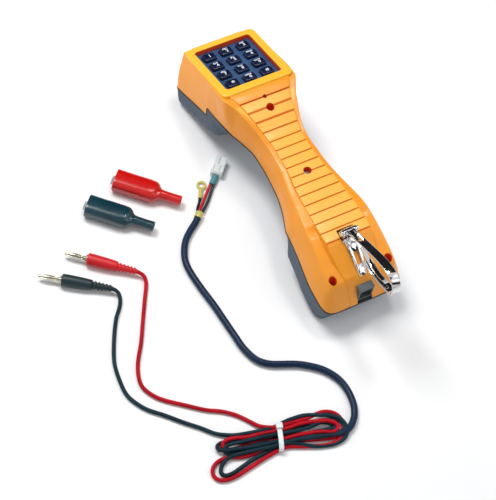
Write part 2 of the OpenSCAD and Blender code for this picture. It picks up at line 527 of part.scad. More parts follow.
// Booted clip: x runs from the cable end to the jaw tip
clip_z = boot_h / 2;
red_clip = [-21, 34.2];
black_clip = [-50.3, 22.1];
clip_a = 135;
tube_r = 3.9;
module clip_at(at) translate([at[0], at[1], clip_z]) rotate([0, 0, clip_a]) children();
module boot_form(d) {
    x0 = d > 0 ? -1 : 0;
    x1 = d > 0 ? boot_l + 1 : boot_l;
    translate([x0, 0, 0]) rotate([0, 90, 0]) cylinder(h = 14.2 - x0, r = tube_r - d, $fn = 32);
    hull() {
        translate([14, 0, 0]) rotate([0, 90, 0]) cylinder(h = 0.2, r = tube_r - d, $fn = 32);
        translate([23, 0, 0]) rotate([0, 90, 0]) round_block(boot_h - 2 * d, boot_w - 2 * d, 0.2, 4 - d);
    }
    translate([23, 0, 0]) rotate([0, 90, 0]) round_block(boot_h - 2 * d, boot_w - 2 * d, x1 - 23, 4 - d);
}
module boot() difference() {
    boot_form(0);
    boot_form(boot_wall);
}
jaw_pivot_x = 30;
tip_x = boot_l + 2.6;
module fixed_jaw() {
    difference() {
        union() {
            translate([2, 0, 0]) rotate([0, 90, 0]) cylinder(h = 19, r = 2.7, $fn = 32);
            translate([19, -3.6, -3.6]) cube([19, 7.2, 1]);
            translate([19, -2.4, -3.4]) cube([2, 4.8, 3]);
            for (y = [-4.4, 3.6]) translate([25, y, -3.6]) cube([10, 0.8, 5.6]);
            translate([25, -4.4, -3.6]) cube([10, 8.8, 1]);
            rotate([90, 0, 0]) translate([0, 0, -3.2]) linear_extrude(6.4)
                polygon([[36, -3.6], [tip_x - 3, -3.2], [tip_x, -2.6], [tip_x, -1.6], [tip_x - 2, -1.6], [38, -2.2], [36, -2.6]]);
        }
        translate([-1, 0, 0]) rotate([0, 90, 0]) cylinder(h = 16, r = 2.06, $fn = 32);
        translate([jaw_pivot_x, -8, 0.2]) rotate([-90, 0, 0]) cylinder(h = 16, r = 1.2, $fn = 24);
    }
}
module moving_jaw() {
    difference() {
        union() {
            rotate([90, 0, 0]) translate([0, 0, -3.2]) linear_extrude(6.4)
                polygon([[34, 1.8], [36, 2.2], [tip_x - 3, 1], [tip_x, -0.2], [tip_x, -1.3], [tip_x - 2, -1.3], [38, -0.6], [34, 0.4]]);
            for (y = [-3.3, 2.5]) translate([26, y, -1.4]) cube([9.4, 0.8, 4.2]);
            translate([22, -3.3, 3]) cube([13, 6.6, 0.9]);
            for (y = [-3.3, 2.5]) translate([26, y, 2]) cube([9.4, 0.8, 1.9]);
        }
        translate([jaw_pivot_x, -8, 0.2]) rotate([-90, 0, 0]) cylinder(h = 16, r = 1.25, $fn = 24);
    }
}
module jaw_spring() translate([jaw_pivot_x, 0, 0.2]) rotate([90, 0, 0]) {
    for (i = [-1.5:1:1.5]) translate([0, 0, i]) rotate_extrude($fn = 32) translate([1.95, 0]) circle(0.42, $fn = 13);
    difference() {
        translate([0, 0, -1.8]) cylinder(h = 3.6, r = 1.85, $fn = 32);
        translate([0, 0, -2]) cylinder(h = 4, r = 1.6, $fn = 32);
    }
}
module jaw_pivot() translate([jaw_pivot_x, 0, 0.2]) rotate([90, 0, 0]) {
    translate([0, 0, -4.9]) cylinder(h = 9.8, r = 1.2, $fn = 24);
    for (z = [-5.4, 4.5]) translate([0, 0, z]) cylinder(h = 0.9, r = 1.9, $fn = 24);
}
module red_boot() color("crimson") clip_at(red_clip) boot();
module red_fixed_jaw() color("silver") clip_at(red_clip) fixed_jaw();
module red_moving_jaw() color("silver") clip_at(red_clip) moving_jaw();
module red_jaw_spring() color("gray") clip_at(red_clip) jaw_spring();
module red_jaw_pivot() color("silver") clip_at(red_clip) jaw_pivot();
module black_boot() color("darkslategray") clip_at(black_clip) boot();
module black_fixed_jaw() color("silver") clip_at(black_clip) fixed_jaw();
module black_moving_jaw() color("silver") clip_at(black_clip) moving_jaw();
module black_jaw_spring() color("gray") clip_at(black_clip) jaw_spring();
module black_jaw_pivot() color("silver") clip_at(black_clip) jaw_pivot();

upper_shell();
lower_shell();
shell_seal();
keypad_plate();
key_1();
key_2();
key_3();
key_4();
key_5();
key_6();
key_7();
key_8();
key_9();
key_star();
key_0();
key_hash();
key_membrane();
keypad_board();
status_lamp();
case_screws();
main_board();
receiver_capsule();
mic_capsule();
jack_housing();
jack_contacts();
clip_bracket();
clip_rivets();
clip_pin();
clip_hook();
clip_gate();
talk_switch();
dial_switch();
mute_button();
main_cord();
red_lead();
black_lead();
lead_hank();
cable_tie();
cord_sleeve();
red_tail();
black_tail();
stay_strand();
stay_lug();
shrink_sleeve();
line_connector();
red_plug_body();
red_plug_pin();
black_plug_body();
black_plug_pin();
red_boot();
red_fixed_jaw();
red_moving_jaw();
red_jaw_spring();
red_jaw_pivot();
black_boot();
black_fixed_jaw();
black_moving_jaw();
black_jaw_spring();
black_jaw_pivot();
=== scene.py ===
"""Looks for the lineman's test handset kit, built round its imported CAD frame."""

import math

import bmesh
import bpy
import numpy as np
from mathutils import Matrix, Vector


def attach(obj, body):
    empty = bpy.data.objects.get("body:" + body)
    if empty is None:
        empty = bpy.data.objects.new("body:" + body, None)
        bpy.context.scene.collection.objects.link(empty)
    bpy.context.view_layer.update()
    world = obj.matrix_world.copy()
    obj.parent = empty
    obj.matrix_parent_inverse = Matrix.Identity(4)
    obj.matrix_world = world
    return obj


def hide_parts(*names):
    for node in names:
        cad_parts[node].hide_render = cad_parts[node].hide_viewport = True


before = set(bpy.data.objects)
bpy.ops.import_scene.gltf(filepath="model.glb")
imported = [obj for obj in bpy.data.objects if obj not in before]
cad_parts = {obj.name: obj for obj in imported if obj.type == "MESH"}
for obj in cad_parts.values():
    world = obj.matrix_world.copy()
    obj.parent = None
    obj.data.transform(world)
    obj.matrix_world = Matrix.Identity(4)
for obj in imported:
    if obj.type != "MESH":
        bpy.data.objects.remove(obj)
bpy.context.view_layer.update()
MM = 0.001
HANDSET = np.array([57.0, -107.5, 0.0])
COLLECTION = bpy.context.scene.collection
bpy.context.scene.view_settings.view_transform = "Standard"


# ---------------------------------------------------------------- small helpers
def mm(points):
    return [tuple(np.asarray(p, float) * MM) for p in points]


def add_mesh(name, verts, faces, uvs=None, smooth=True):
    """A mesh object from points in millimetres; uvs is one (u, v) per face corner."""
    mesh = bpy.data.meshes.new(name)
    mesh.from_pydata(mm(verts), [], faces)
    if uvs is not None:
        layer = mesh.uv_layers.new(name="UVMap")
        flat = np.array([uv for face in uvs for uv in face], np.float32).ravel()
        layer.data.foreach_set("uv", flat)
    mesh.update()
    if smooth:
        mesh.polygons.foreach_set("use_smooth", [True] * len(mesh.polygons))
    obj = bpy.data.objects.new(name, mesh)
    COLLECTION.objects.link(obj)
    return obj


def finish_piece(obj, body, material, replaces=()):
    if material is not None:
        obj.data.materials.clear()
        obj.data.materials.append(material)
    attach(obj, body)
    if replaces:
        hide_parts(*replaces)
    return obj


def loft(rings, caps=True, loop=False):
    """Points and faces of a skin over rings of equal length; a loop's last ring joins its first."""
    rings = [np.asarray(r, float) for r in rings]
    count, size = len(rings), len(rings[0])
    verts = [p for r in rings for p in r]
    faces = []
    for i in range(count if loop else count - 1):
        a, b = i * size, ((i + 1) % count) * size
        for j in range(size):
            k = (j + 1) % size
            faces.append((a + j, a + k, b + k, b + j))
    if caps and not loop:
        faces.append(tuple(range(size - 1, -1, -1)))
        faces.append(tuple((count - 1) * size + j for j in range(size)))
    return verts, faces


def tidy_normals(obj):
    work = bmesh.new()
    work.from_mesh(obj.data)
    bmesh.ops.remove_doubles(work, verts=work.verts, dist=1e-6)
    bmesh.ops.recalc_face_normals(work, faces=work.faces)
    work.to_mesh(obj.data)
    work.free()
    return obj


def apply_modifiers(obj):
    bpy.context.view_layer.update()
    evaluated = obj.evaluated_get(bpy.context.evaluated_depsgraph_get())
    mesh = bpy.data.meshes.new_from_object(evaluated)
    old = obj.data
    obj.modifiers.clear()
    obj.data = mesh
    bpy.data.meshes.remove(old)
    return obj


def shade_by_angle(obj, degrees=35):
    mesh = obj.data
    mesh.polygons.foreach_set("use_smooth", [True] * len(mesh.polygons))
    work = bmesh.new()
    work.from_mesh(mesh)
    limit = math.radians(degrees)
    for edge in work.edges:
        if len(edge.link_faces) == 2:
            edge.smooth = edge.calc_face_angle(0) < limit
    work.to_mesh(mesh)
    work.free()
    return obj


def bevel(obj, width, segments=3, angle=30):
    mod = obj.modifiers.new("soft_edges", "BEVEL")
    mod.width = width * MM
    mod.segments = segments
    mod.limit_method = "ANGLE"
    mod.angle_limit = math.radians(angle)
    mod.harden_normals = False
    apply_modifiers(obj)
    return shade_by_angle(obj)


def remove(objs):
    for obj in objs:
        mesh = obj.data
        bpy.data.objects.remove(obj)
        bpy.data.meshes.remove(mesh)


def carve(obj, cutters):
    """Cuts the closed cutters out of obj, their materials on the cut faces, then removes them."""
    for index, other in enumerate(cutters):
        tidy_normals(other)
        mod = obj.modifiers.new("cut%d" % index, "BOOLEAN")
        mod.operation, mod.solver, mod.object = "DIFFERENCE", "MANIFOLD", other
        mod.material_mode = "TRANSFER"
    apply_modifiers(obj)
    remove(cutters)
    return obj


def full_turn(sides):
    """Angles at even spacing round a full turn."""
    return [2 * math.pi * k / sides for k in range(sides)]


def rounded_rectangle(width, length, radius, steps=6):
    """Outline points, counter-clockwise, centred on the origin."""
    points = []
    for sx, sy, start in ((1, 1, 0), (-1, 1, 90), (-1, -1, 180), (1, -1, 270)):
        cx, cy = sx * (width / 2 - radius), sy * (length / 2 - radius)
        for k in range(steps + 1):
            a = math.radians(start + 90 * k / steps)
            points.append((cx + radius * math.cos(a), cy + radius * math.sin(a)))
    return points


def prism(name, outline, low, high, place=lambda p: p):
    rings = [[place((x, y, z)) for x, y in outline] for z in (low, high)]
    return add_mesh(name, *loft(rings), smooth=False)


def cylinder(name, radius, low, high, place=lambda p: p, sides=40):
    return prism(name, [(radius * math.cos(a), radius * math.sin(a)) for a in full_turn(sides)], low, high, place)


def lathe(profile, place, sides=56):
    """Turns (radius, height) points round the local Z axis."""
    return loft([[place((r * math.cos(a), r * math.sin(a), z)) for a in full_turn(sides)] for r, z in profile])


def spline_points(points, step):
    """A Catmull-Rom curve through the points, at even spacing."""
    p = np.asarray(points, float)
    n = len(p) - 1
    dense = []
    for i in range(n):
        a, b, c, d = p[max(i - 1, 0)], p[i], p[i + 1], p[min(i + 2, n)]
        for k in range(16):
            u = k / 16
            dense.append(0.5 * (2 * b + (c - a) * u + (2 * a - 5 * b + 4 * c - d) * u * u
                                + (3 * b - a - 3 * c + d) * u ** 3))
    dense.append(p[n])
    dense = np.array(dense)
    run = np.concatenate([[0], np.cumsum(np.linalg.norm(np.diff(dense, axis=0), axis=1))])
    count = max(2, int(round(run[-1] / step)) + 1)
    at = np.linspace(0, run[-1], count)
    return np.stack([np.interp(at, run, dense[:, k]) for k in range(3)], axis=1)


def smooth_path(path, rounds=2):
    path = np.array(path)
    for _ in range(rounds):
        path[1:-1] = 0.25 * path[:-2] + 0.5 * path[1:-1] + 0.25 * path[2:]
    return path


def frames_along(path):
    """Tangent, side and up vectors carried along a path without twist."""
    tangents = np.gradient(path, axis=0)
    tangents /= np.linalg.norm(tangents, axis=1)[:, None]
    up = np.array([0.0, 0.0, 1.0])
    if abs(tangents[0] @ up) > 0.9:
        up = np.array([1.0, 0.0, 0.0])
    sides, ups = [], []
    for t in tangents:
        side = np.cross(up, t)
        side /= np.linalg.norm(side)
        up = np.cross(t, side)
        sides.append(side)
        ups.append(up)
    return tangents, np.array(sides), np.array(ups)


def sweep(name, path, section):
    """Sweeps a section of (side, up) points along a path, with length-wise UVs in metres."""
    path = np.asarray(path, float)
    _, side, up = frames_along(path)
    rings = [[path[i] + s * side[i] + u * up[i] for s, u in section] for i in range(len(path))]
    verts, faces = loft(rings, caps=False)
    run = np.concatenate([[0], np.cumsum(np.linalg.norm(np.diff(path, axis=0), axis=1))]) * MM
    m = len(section)
    uvs = []
    for i in range(len(path) - 1):
        for j in range(m):
            uvs.append(((run[i], j / m), (run[i], (j + 1) / m), (run[i + 1], (j + 1) / m), (run[i + 1], j / m)))
    for base, order in ((0, range(m - 1, -1, -1)), ((len(path) - 1) * m, range(m))):
        faces.append(tuple(base + j for j in order))
        uvs.append(tuple((0.0, j / m) for j in order))
    return add_mesh(name, verts, faces, uvs)


def lying(at, degrees, height):
    c, s = math.cos(math.radians(degrees)), math.sin(math.radians(degrees))
    return lambda p: (at[0] + p[2] * c - p[1] * s, at[1] + p[2] * s + p[1] * c, height + p[0])


def drawn_flat(at, degrees, height=0.0):
    """The same for an item drawn from above, in (along, across, up)."""
    place = lying(at, degrees, height)
    return lambda p: place((p[2], p[1], p[0]))


def moved(place, dx, dy, dz=0.0):
    return lambda p: place((p[0] + dx, p[1] + dy, p[2] + dz))


# ---------------------------------------------------------------- materials
def new_material(name):
    mat = bpy.data.materials.new(name)
    mat.use_nodes = True
    tree = mat.node_tree
    return mat, tree, tree.nodes["Principled BSDF"]


def noise(tree, vector, scale, detail=3.0, rough=0.5):
    node = tree.nodes.new("ShaderNodeTexNoise")
    node.inputs["Scale"].default_value = scale
    node.inputs["Detail"].default_value = detail
    node.inputs["Roughness"].default_value = rough
    tree.links.new(vector, node.inputs["Vector"])
    return node.outputs["Fac"]


def ramp(tree, value, stops):
    node = tree.nodes.new("ShaderNodeValToRGB")
    node.color_ramp.elements[0].position, node.color_ramp.elements[0].color = stops[0][0], (*stops[0][1], 1)
    node.color_ramp.elements[1].position, node.color_ramp.elements[1].color = stops[-1][0], (*stops[-1][1], 1)
    for position, color in stops[1:-1]:
        node.color_ramp.elements.new(position).color = (*color, 1)
    tree.links.new(value, node.inputs["Fac"])
    return node.outputs["Color"]


def remap(tree, value, low, high, from_low=0.3, from_high=0.7):
    node = tree.nodes.new("ShaderNodeMapRange")
    for key, number in (("From Min", from_low), ("From Max", from_high), ("To Min", low), ("To Max", high)):
        node.inputs[key].default_value = number
    tree.links.new(value, node.inputs["Value"])
    return node.outputs["Result"]


def math_node(tree, operation, a, b=None):
    node = tree.nodes.new("ShaderNodeMath")
    node.operation = operation
    for index, value in enumerate((a, b)):
        if value is None:
            continue
        if isinstance(value, (int, float)):
            node.inputs[index].default_value = value
        else:
            tree.links.new(value, node.inputs[index])
    return node.outputs["Value"]


def bump(tree, shader, height, strength, distance):
    node = tree.nodes.new("ShaderNodeBump")
    node.inputs["Strength"].default_value = strength
    node.inputs["Distance"].default_value = distance
    tree.links.new(height, node.inputs["Height"])
    tree.links.new(node.outputs["Normal"], shader.inputs["Normal"])


def surface(name, dark, light, rough=(0.35, 0.5), grain=900.0, grain_depth=0.00005, mottle=18.0, metallic=0.0,
            coat=0.0, specular=0.5, streak=None, strength=0.35):
    """Moulded plastic, rubber or metal: mottled colour, uneven roughness and a fine grain."""
    mat, tree, shader = new_material(name)
    coords = tree.nodes.new("ShaderNodeTexCoord").outputs["Object"]
    if streak is not None:
        mapping = tree.nodes.new("ShaderNodeMapping")
        mapping.inputs["Scale"].default_value = streak
        tree.links.new(coords, mapping.inputs["Vector"])
        grain_coords = mapping.outputs["Vector"]
    else:
        grain_coords = coords
    broad = noise(tree, coords, mottle, 4.0, 0.6)
    tree.links.new(ramp(tree, broad, [(0.3, dark), (0.7, light)]), shader.inputs["Base Color"])
    wear = noise(tree, coords, mottle * 6, 5.0, 0.65)
    tree.links.new(remap(tree, wear, rough[0], rough[1]), shader.inputs["Roughness"])
    fine = noise(tree, grain_coords, grain, 2.0, 0.5)
    scratch = noise(tree, grain_coords, grain * 0.25, 4.0, 0.6)
    bump(tree, shader, math_node(tree, "ADD", fine, scratch), strength, grain_depth)
    shader.inputs["Metallic"].default_value = metallic
    shader.inputs["Coat Weight"].default_value = coat
    shader.inputs["Coat Roughness"].default_value = 0.12
    shader.inputs["Specular IOR Level"].default_value = specular
    return mat


def braid(name, dark, light, pitch, around, depth, rough=(0.4, 0.55), strength=0.8, specular=0.14):
    """A cord's surface: two helical ribs crossing, from the sweep's own UVs."""
    mat, tree, shader = new_material(name)
    uv = tree.nodes.new("ShaderNodeTexCoord").outputs["UV"]
    split = tree.nodes.new("ShaderNodeSeparateXYZ")
    tree.links.new(uv, split.inputs["Vector"])
    along = math_node(tree, "MULTIPLY", split.outputs["X"], 2 * math.pi / pitch)
    turn = math_node(tree, "MULTIPLY", split.outputs["Y"], 2 * math.pi * around)
    one = math_node(tree, "SINE", math_node(tree, "ADD", along, turn))
    two = math_node(tree, "SINE", math_node(tree, "SUBTRACT", along, turn))
    weave = math_node(tree, "MAXIMUM", one, two)
    broad = noise(tree, tree.nodes.new("ShaderNodeTexCoord").outputs["Object"], 60.0, 3.0)
    mixed = math_node(tree, "ADD", remap(tree, weave, 0.0, 0.55, -1.0, 1.0), remap(tree, broad, 0.0, 0.45))
    tree.links.new(ramp(tree, mixed, [(0.1, dark), (0.95, light)]), shader.inputs["Base Color"])
    tree.links.new(remap(tree, broad, *rough), shader.inputs["Roughness"])
    bump(tree, shader, weave, strength, depth)
    shader.inputs["Specular IOR Level"].default_value = specular
    return mat


M = {
    "case_yellow": surface("moulded_yellow", (0.86, 0.29, 0.008), (0.93, 0.34, 0.012), (0.33, 0.46), 1500, 0.00004,
                           9.0, coat=0.12, strength=0.25),
    "bezel_yellow": surface("bezel_yellow", (0.90, 0.47, 0.025), (0.96, 0.52, 0.03), (0.34, 0.46), 1500, 0.00004,
                            9.0, coat=0.12, strength=0.25),
    "case_blue": surface("moulded_slate", (0.040, 0.066, 0.105), (0.055, 0.088, 0.135), (0.5, 0.65), 1400, 0.00007,
                         12.0, strength=0.4),
    "seal_black": surface("seal_rubber", (0.004, 0.004, 0.006), (0.012, 0.012, 0.016), (0.5, 0.7), 1200, 0.00003),
    "plate_blue": surface("plate_blue", (0.020, 0.062, 0.155), (0.030, 0.085, 0.20), (0.42, 0.55), 1700, 0.00007,
                          30.0, strength=0.4),
    "key_navy": surface("key_navy", (0.001, 0.005, 0.030), (0.003, 0.010, 0.055), (0.18, 0.3), 900, 0.00002, 60.0,
                        coat=0.3, strength=0.2),
    "legend_white": surface("legend_white", (0.78, 0.80, 0.84), (0.86, 0.88, 0.92), (0.4, 0.5), 900, 0.00001),
    "membrane_grey": surface("membrane_grey", (0.03, 0.03, 0.035), (0.05, 0.05, 0.055), (0.6, 0.7)),
    "board_green": surface("board_green", (0.01, 0.07, 0.025), (0.02, 0.10, 0.04), (0.3, 0.45), 400, 0.00005, 200.0),
    "lamp_red": surface("lamp_red", (0.20, 0.004, 0.004), (0.28, 0.008, 0.006), (0.12, 0.2), 500, 0.00001, coat=0.5),
    "steel": surface("plated_steel", (0.42, 0.42, 0.42), (0.56, 0.56, 0.56), (0.25, 0.4), 1200, 0.00003, 40.0,
                     metallic=1.0),
    "jaw_steel": surface("jaw_steel", (0.40, 0.40, 0.40), (0.58, 0.58, 0.58), (0.22, 0.36), 900, 0.00003, 60.0,
                         metallic=1.0, streak=(1, 8, 1)),
    "capsule": surface("capsule_metal", (0.5, 0.5, 0.5), (0.6, 0.6, 0.6), (0.35, 0.45), metallic=1.0),
    "jack_slate": surface("jack_slate", (0.06, 0.078, 0.085), (0.09, 0.11, 0.115), (0.4, 0.6), 1300, 0.00005),
    "contact_brass": surface("contact_brass", (0.55, 0.36, 0.10), (0.66, 0.46, 0.16), (0.2, 0.3), metallic=1.0),
    "chrome": surface("clip_chrome", (0.70, 0.70, 0.70), (0.80, 0.80, 0.79), (0.05, 0.12), 700, 0.000012, 25.0,
                      metallic=1.0, streak=(1, 12, 12), strength=0.25),
    "switch_grey": surface("switch_grey", (0.010, 0.011, 0.014), (0.02, 0.022, 0.026), (0.4, 0.55), 1200, 0.00005),
    "cord_navy": braid("cord_navy", (0.001, 0.009, 0.030), (0.003, 0.024, 0.068), 0.0042, 2, 0.00003,
                       (0.30, 0.42), 0.35, 0.22),
    "lead_red": braid("lead_red", (0.20, 0.001, 0.006), (0.62, 0.005, 0.018), 0.0016, 3, 0.00008, (0.36, 0.5)),
    "lead_black": braid("lead_black", (0.001, 0.005, 0.011), (0.010, 0.042, 0.060), 0.0016, 3, 0.00008,
                        (0.34, 0.5)),
    "nylon_white": surface("nylon_white", (0.72, 0.78, 0.78), (0.84, 0.88, 0.88), (0.3, 0.42), 700, 0.00003, 60.0),
    "sleeve_yellow": surface("sleeve_yellow", (0.46, 0.42, 0.08), (0.62, 0.56, 0.16), (0.2, 0.35), 700, 0.00003,
                             90.0, coat=0.3),
    "lug_tin": surface("lug_tin", (0.46, 0.47, 0.42), (0.64, 0.64, 0.58), (0.22, 0.38), 900, 0.00003, 90.0,
                       metallic=1.0),
    "strand_black": braid("strand_black", (0.002, 0.002, 0.008), (0.02, 0.02, 0.05), 0.0012, 3, 0.0001, (0.6, 0.75)),
    "shrink_teal": surface("shrink_teal", (0.06, 0.20, 0.23), (0.10, 0.28, 0.31), (0.3, 0.45), 400, 0.00006, 150.0),
    "plug_red": surface("plug_red", (0.56, 0.004, 0.010), (0.68, 0.008, 0.014), (0.36, 0.5), 1200, 0.00005, 40.0,
                        strength=0.35),
    "plug_black": surface("plug_black", (0.003, 0.016, 0.021), (0.006, 0.026, 0.033), (0.38, 0.55), 1200, 0.00005,
                          40.0, strength=0.35),
    "pin_nickel": surface("pin_nickel", (0.40, 0.38, 0.29), (0.54, 0.52, 0.41), (0.16, 0.3), 900, 0.00002, 80.0,
                          metallic=1.0, streak=(6, 6, 1)),
    "boot_red": surface("boot_red", (0.52, 0.004, 0.003), (0.64, 0.008, 0.005), (0.13, 0.22), 350, 0.00006, 30.0,
                        coat=0.35, strength=0.3),
    "boot_black": surface("boot_black", (0.002, 0.026, 0.040), (0.005, 0.044, 0.064), (0.13, 0.22), 350, 0.00006,
                          30.0, coat=0.35, strength=0.3),
    "floor": surface("studio_floor", (0.95, 0.95, 0.955), (0.965, 0.965, 0.965), (0.8, 0.9), 60, 0.00002, 3.0),
}

# ---------------------------------------------------------------- camera and studio
camera_data = bpy.data.cameras.new("camera")
camera = bpy.data.objects.new("camera", camera_data)
COLLECTION.objects.link(camera)
bpy.context.scene.camera = camera
azimuth, elevation, roll = math.radians(-39.705), math.radians(58.508), math.radians(13.257)
back = Vector((math.sin(azimuth) * math.cos(elevation), -math.cos(azimuth) * math.cos(elevation),
               math.sin(elevation)))
level = Vector((math.cos(azimuth), math.sin(azimuth), 0.0))
rise = back.cross(level)
cam_x = math.cos(roll) * level + math.sin(roll) * rise
cam_y = math.cos(roll) * rise - math.sin(roll) * level
camera.matrix_world = Matrix((
    (cam_x.x, cam_y.x, back.x, -0.46169), (cam_x.y, cam_y.y, back.y, -0.58757),
    (cam_x.z, cam_y.z, back.z, 1.19950), (0, 0, 0, 1)))
camera_data.sensor_fit = "HORIZONTAL"
camera_data.sensor_width = 36.0
camera_data.lens = 134.88
camera_data.clip_start, camera_data.clip_end = 0.02, 20.0


def area_light(name, direction, distance, size, power, color=(1, 1, 1)):
    data = bpy.data.lights.new(name, "AREA")
    data.shape, data.size, data.energy, data.color = "DISK", size, power, color
    light = bpy.data.objects.new(name, data)
    direction = Vector(direction).normalized()
    light.location = direction * distance
    light.rotation_euler = direction.to_track_quat("Z", "Y").to_euler()
    COLLECTION.objects.link(light)


area_light("key_light", cam_y * 0.40 - cam_x * 0.42 + Vector((0, 0, 1.0)), 1.5, 0.6, 13)
area_light("streak_light", cam_x * 0.3 + cam_y * 0.95 + back * 0.8, 1.6, 0.3, 4.5)
area_light("fill_light", cam_x * 0.9 - cam_y * 0.2 + Vector((0, 0, 0.9)), 1.7, 1.2, 3.2, (0.95, 0.97, 1.0))
area_light("low_light", -cam_x * 0.9 - cam_y * 0.5 + Vector((0, 0, 0.5)), 1.7, 1.0, 2.4, (1.0, 0.98, 0.95))
world = bpy.data.worlds.new("studio")
world.use_nodes = True
sky = world.node_tree
direction = sky.nodes.new("ShaderNodeTexCoord").outputs["Generated"]
bands = sky.nodes.new("ShaderNodeTexWave")
bands.bands_direction = "DIAGONAL"
bands.inputs["Scale"].default_value = 0.75
bands.inputs["Distortion"].default_value = 1.5
bands.inputs["Detail"].default_value = 1.0
sky.links.new(direction, bands.inputs["Vector"])
sky_color = ramp(sky, bands.outputs["Fac"], [(0.38, (0.04, 0.042, 0.05)), (0.5, (1.9, 1.92, 1.95))])
height = sky.nodes.new("ShaderNodeSeparateXYZ")
sky.links.new(direction, height.inputs["Vector"])
overhead = sky.nodes.new("ShaderNodeMixRGB")
sky.links.new(ramp(sky, height.outputs["Z"], [(0.06, (0, 0, 0)), (0.18, (1, 1, 1))]), overhead.inputs["Fac"])
overhead.inputs["Color1"].default_value = (1.3, 1.31, 1.33, 1)
sky.links.new(sky_color, overhead.inputs["Color2"])
sky.links.new(overhead.outputs["Color"], sky.nodes["Background"].inputs["Color"])
sky.nodes["Background"].inputs["Strength"].default_value = 0.4
bpy.context.scene.world = world

floor = add_mesh("floor", [(-6000, -6000, -0.3), (6000, -6000, -0.3), (6000, 6000, -0.3), (-6000, 6000, -0.3)],
                 [(0, 1, 2, 3)])
floor.data.materials.append(M["floor"])

# ---------------------------------------------------------------- cords
MAIN_D, LEAD_D, TAIL_D = 5.2, 3.0, 2.2
main_route = [
    (-11.6, 20.4, 3.1), (-15.4, 17, 3.1), (-19, 14, 2.8), (-25, 10, 2.6), (-32, 4, 2.6), (-37, -3, 2.6),
    (-41, -12, 2.6), (-42, -22, 2.6), (-41, -38, 2.6), (-39, -55, 2.6), (-38, -70, 2.6), (-37, -84, 2.6),
    (-36, -96, 2.6), (-32, -108, 2.6), (-25, -115, 2.6), (-17, -119, 2.6), (-8, -123, 2.6), (0, -128, 2.6),
    (9, -136, 2.6), (15, -146, 2.6), (17, -156, 2.6), (16.4, -165, 2.6), (14.6, -172, 2.6),
    (10.6, -179, 2.7), (5, -184, 2.9), (-1, -186, 3.2), (-7, -185.6, 3.4)]
red_free = [
    (-84.7, -1.7, 4.8), (-81.9, -4.1, 4.8), (-78.5, -7.1, 4.7), (-75.6, -11, 3.8), (-75.6, -15.6, 2.2),
    (-79, -22, 1.5), (-84, -30, 1.5), (-93, -45, 1.5), (-102, -60, 1.5), (-111, -73, 1.5), (-116, -84, 1.5),
    (-117, -93, 1.5), (-113, -102, 1.5), (-107, -109, 1.5), (-95, -119, 1.5), (-84, -128, 1.5),
    (-74, -134, 1.5), (-66, -141, 1.5), (-60, -149, 1.5), (-56, -155, 2), (-52, -159, 3.6)]
black_free = [
    (-108.1, -7.8, 4.8), (-105.1, -10, 4.8), (-101.5, -12.6, 4.7), (-99, -16.4, 3.6), (-100, -22, 1.8),
    (-104, -28, 1.5), (-110, -35, 1.5), (-119, -50, 1.5), (-127, -67, 1.5), (-130, -84, 1.5),
    (-130, -94, 1.5), (-127, -102, 1.5), (-122, -110, 1.5), (-113, -119, 1.5), (-103, -130, 1.5),
    (-94, -139, 1.5), (-87, -147, 1.6), (-80, -152, 2.2), (-74, -155.4, 3.4)]
# each lead's passes through the tie and round the hank's ends, after its free part
red_wound = [
    (-46.6, -162.6, 5.6), (-38, -163.8, 5.2), (-30, -164.8, 4.6), (-21, -166, 4.6), (-14, -165.8, 5),
    (-7.6, -166.8, 5), (-1.6, -170.8, 4.6), (0.8, -177, 3.8), (-1.4, -183.4, 2.8), (-6.4, -186.6, 1.9),
    (-14, -185.4, 1.6), (-26, -181, 1.6), (-37, -176.4, 1.6), (-46, -171.6, 1.6), (-60, -166.8, 1.6),
    (-71, -164.6, 1.6), (-79, -164, 1.8), (-85, -162.4, 2.2), (-87.4, -159.2, 3.2),
    (-84.6, -156.4, 4.2), (-78, -157, 4.8), (-69, -160.4, 4.9), (-57, -162.8, 5),
    (-46, -165.6, 5.2), (-38, -167, 5.4), (-28, -168, 5.4),
    (-17, -171, 5.4), (-8.6, -174.6, 5.2), (-4, -179, 4.4), (-6, -183, 3.6), (-11, -182.6, 3.8),
    (-17, -179.6, 4.4), (-27, -176.4, 4.4), (-37, -174, 4.2), (-47, -172.6, 4), (-58, -172.6, 2.6),
    (-68, -173, 1.6), (-78, -171.6, 1.6), (-86, -168, 1.6), (-94.5, -167.2, 1.6), (-101, -170.6, 1.6),
    (-103, -176.4, 1.6), (-99, -181.6, 1.6), (-90, -183, 1.6), (-79, -181.6, 1.6), (-66, -179.6, 1.6),
    (-55, -178.4, 1.6), (-45, -178.4, 1.6), (-33, -183.6, 1.6), (-20, -188.8, 1.6), (-11, -190.2, 1.7),
    (-4, -187.4, 2.1)]
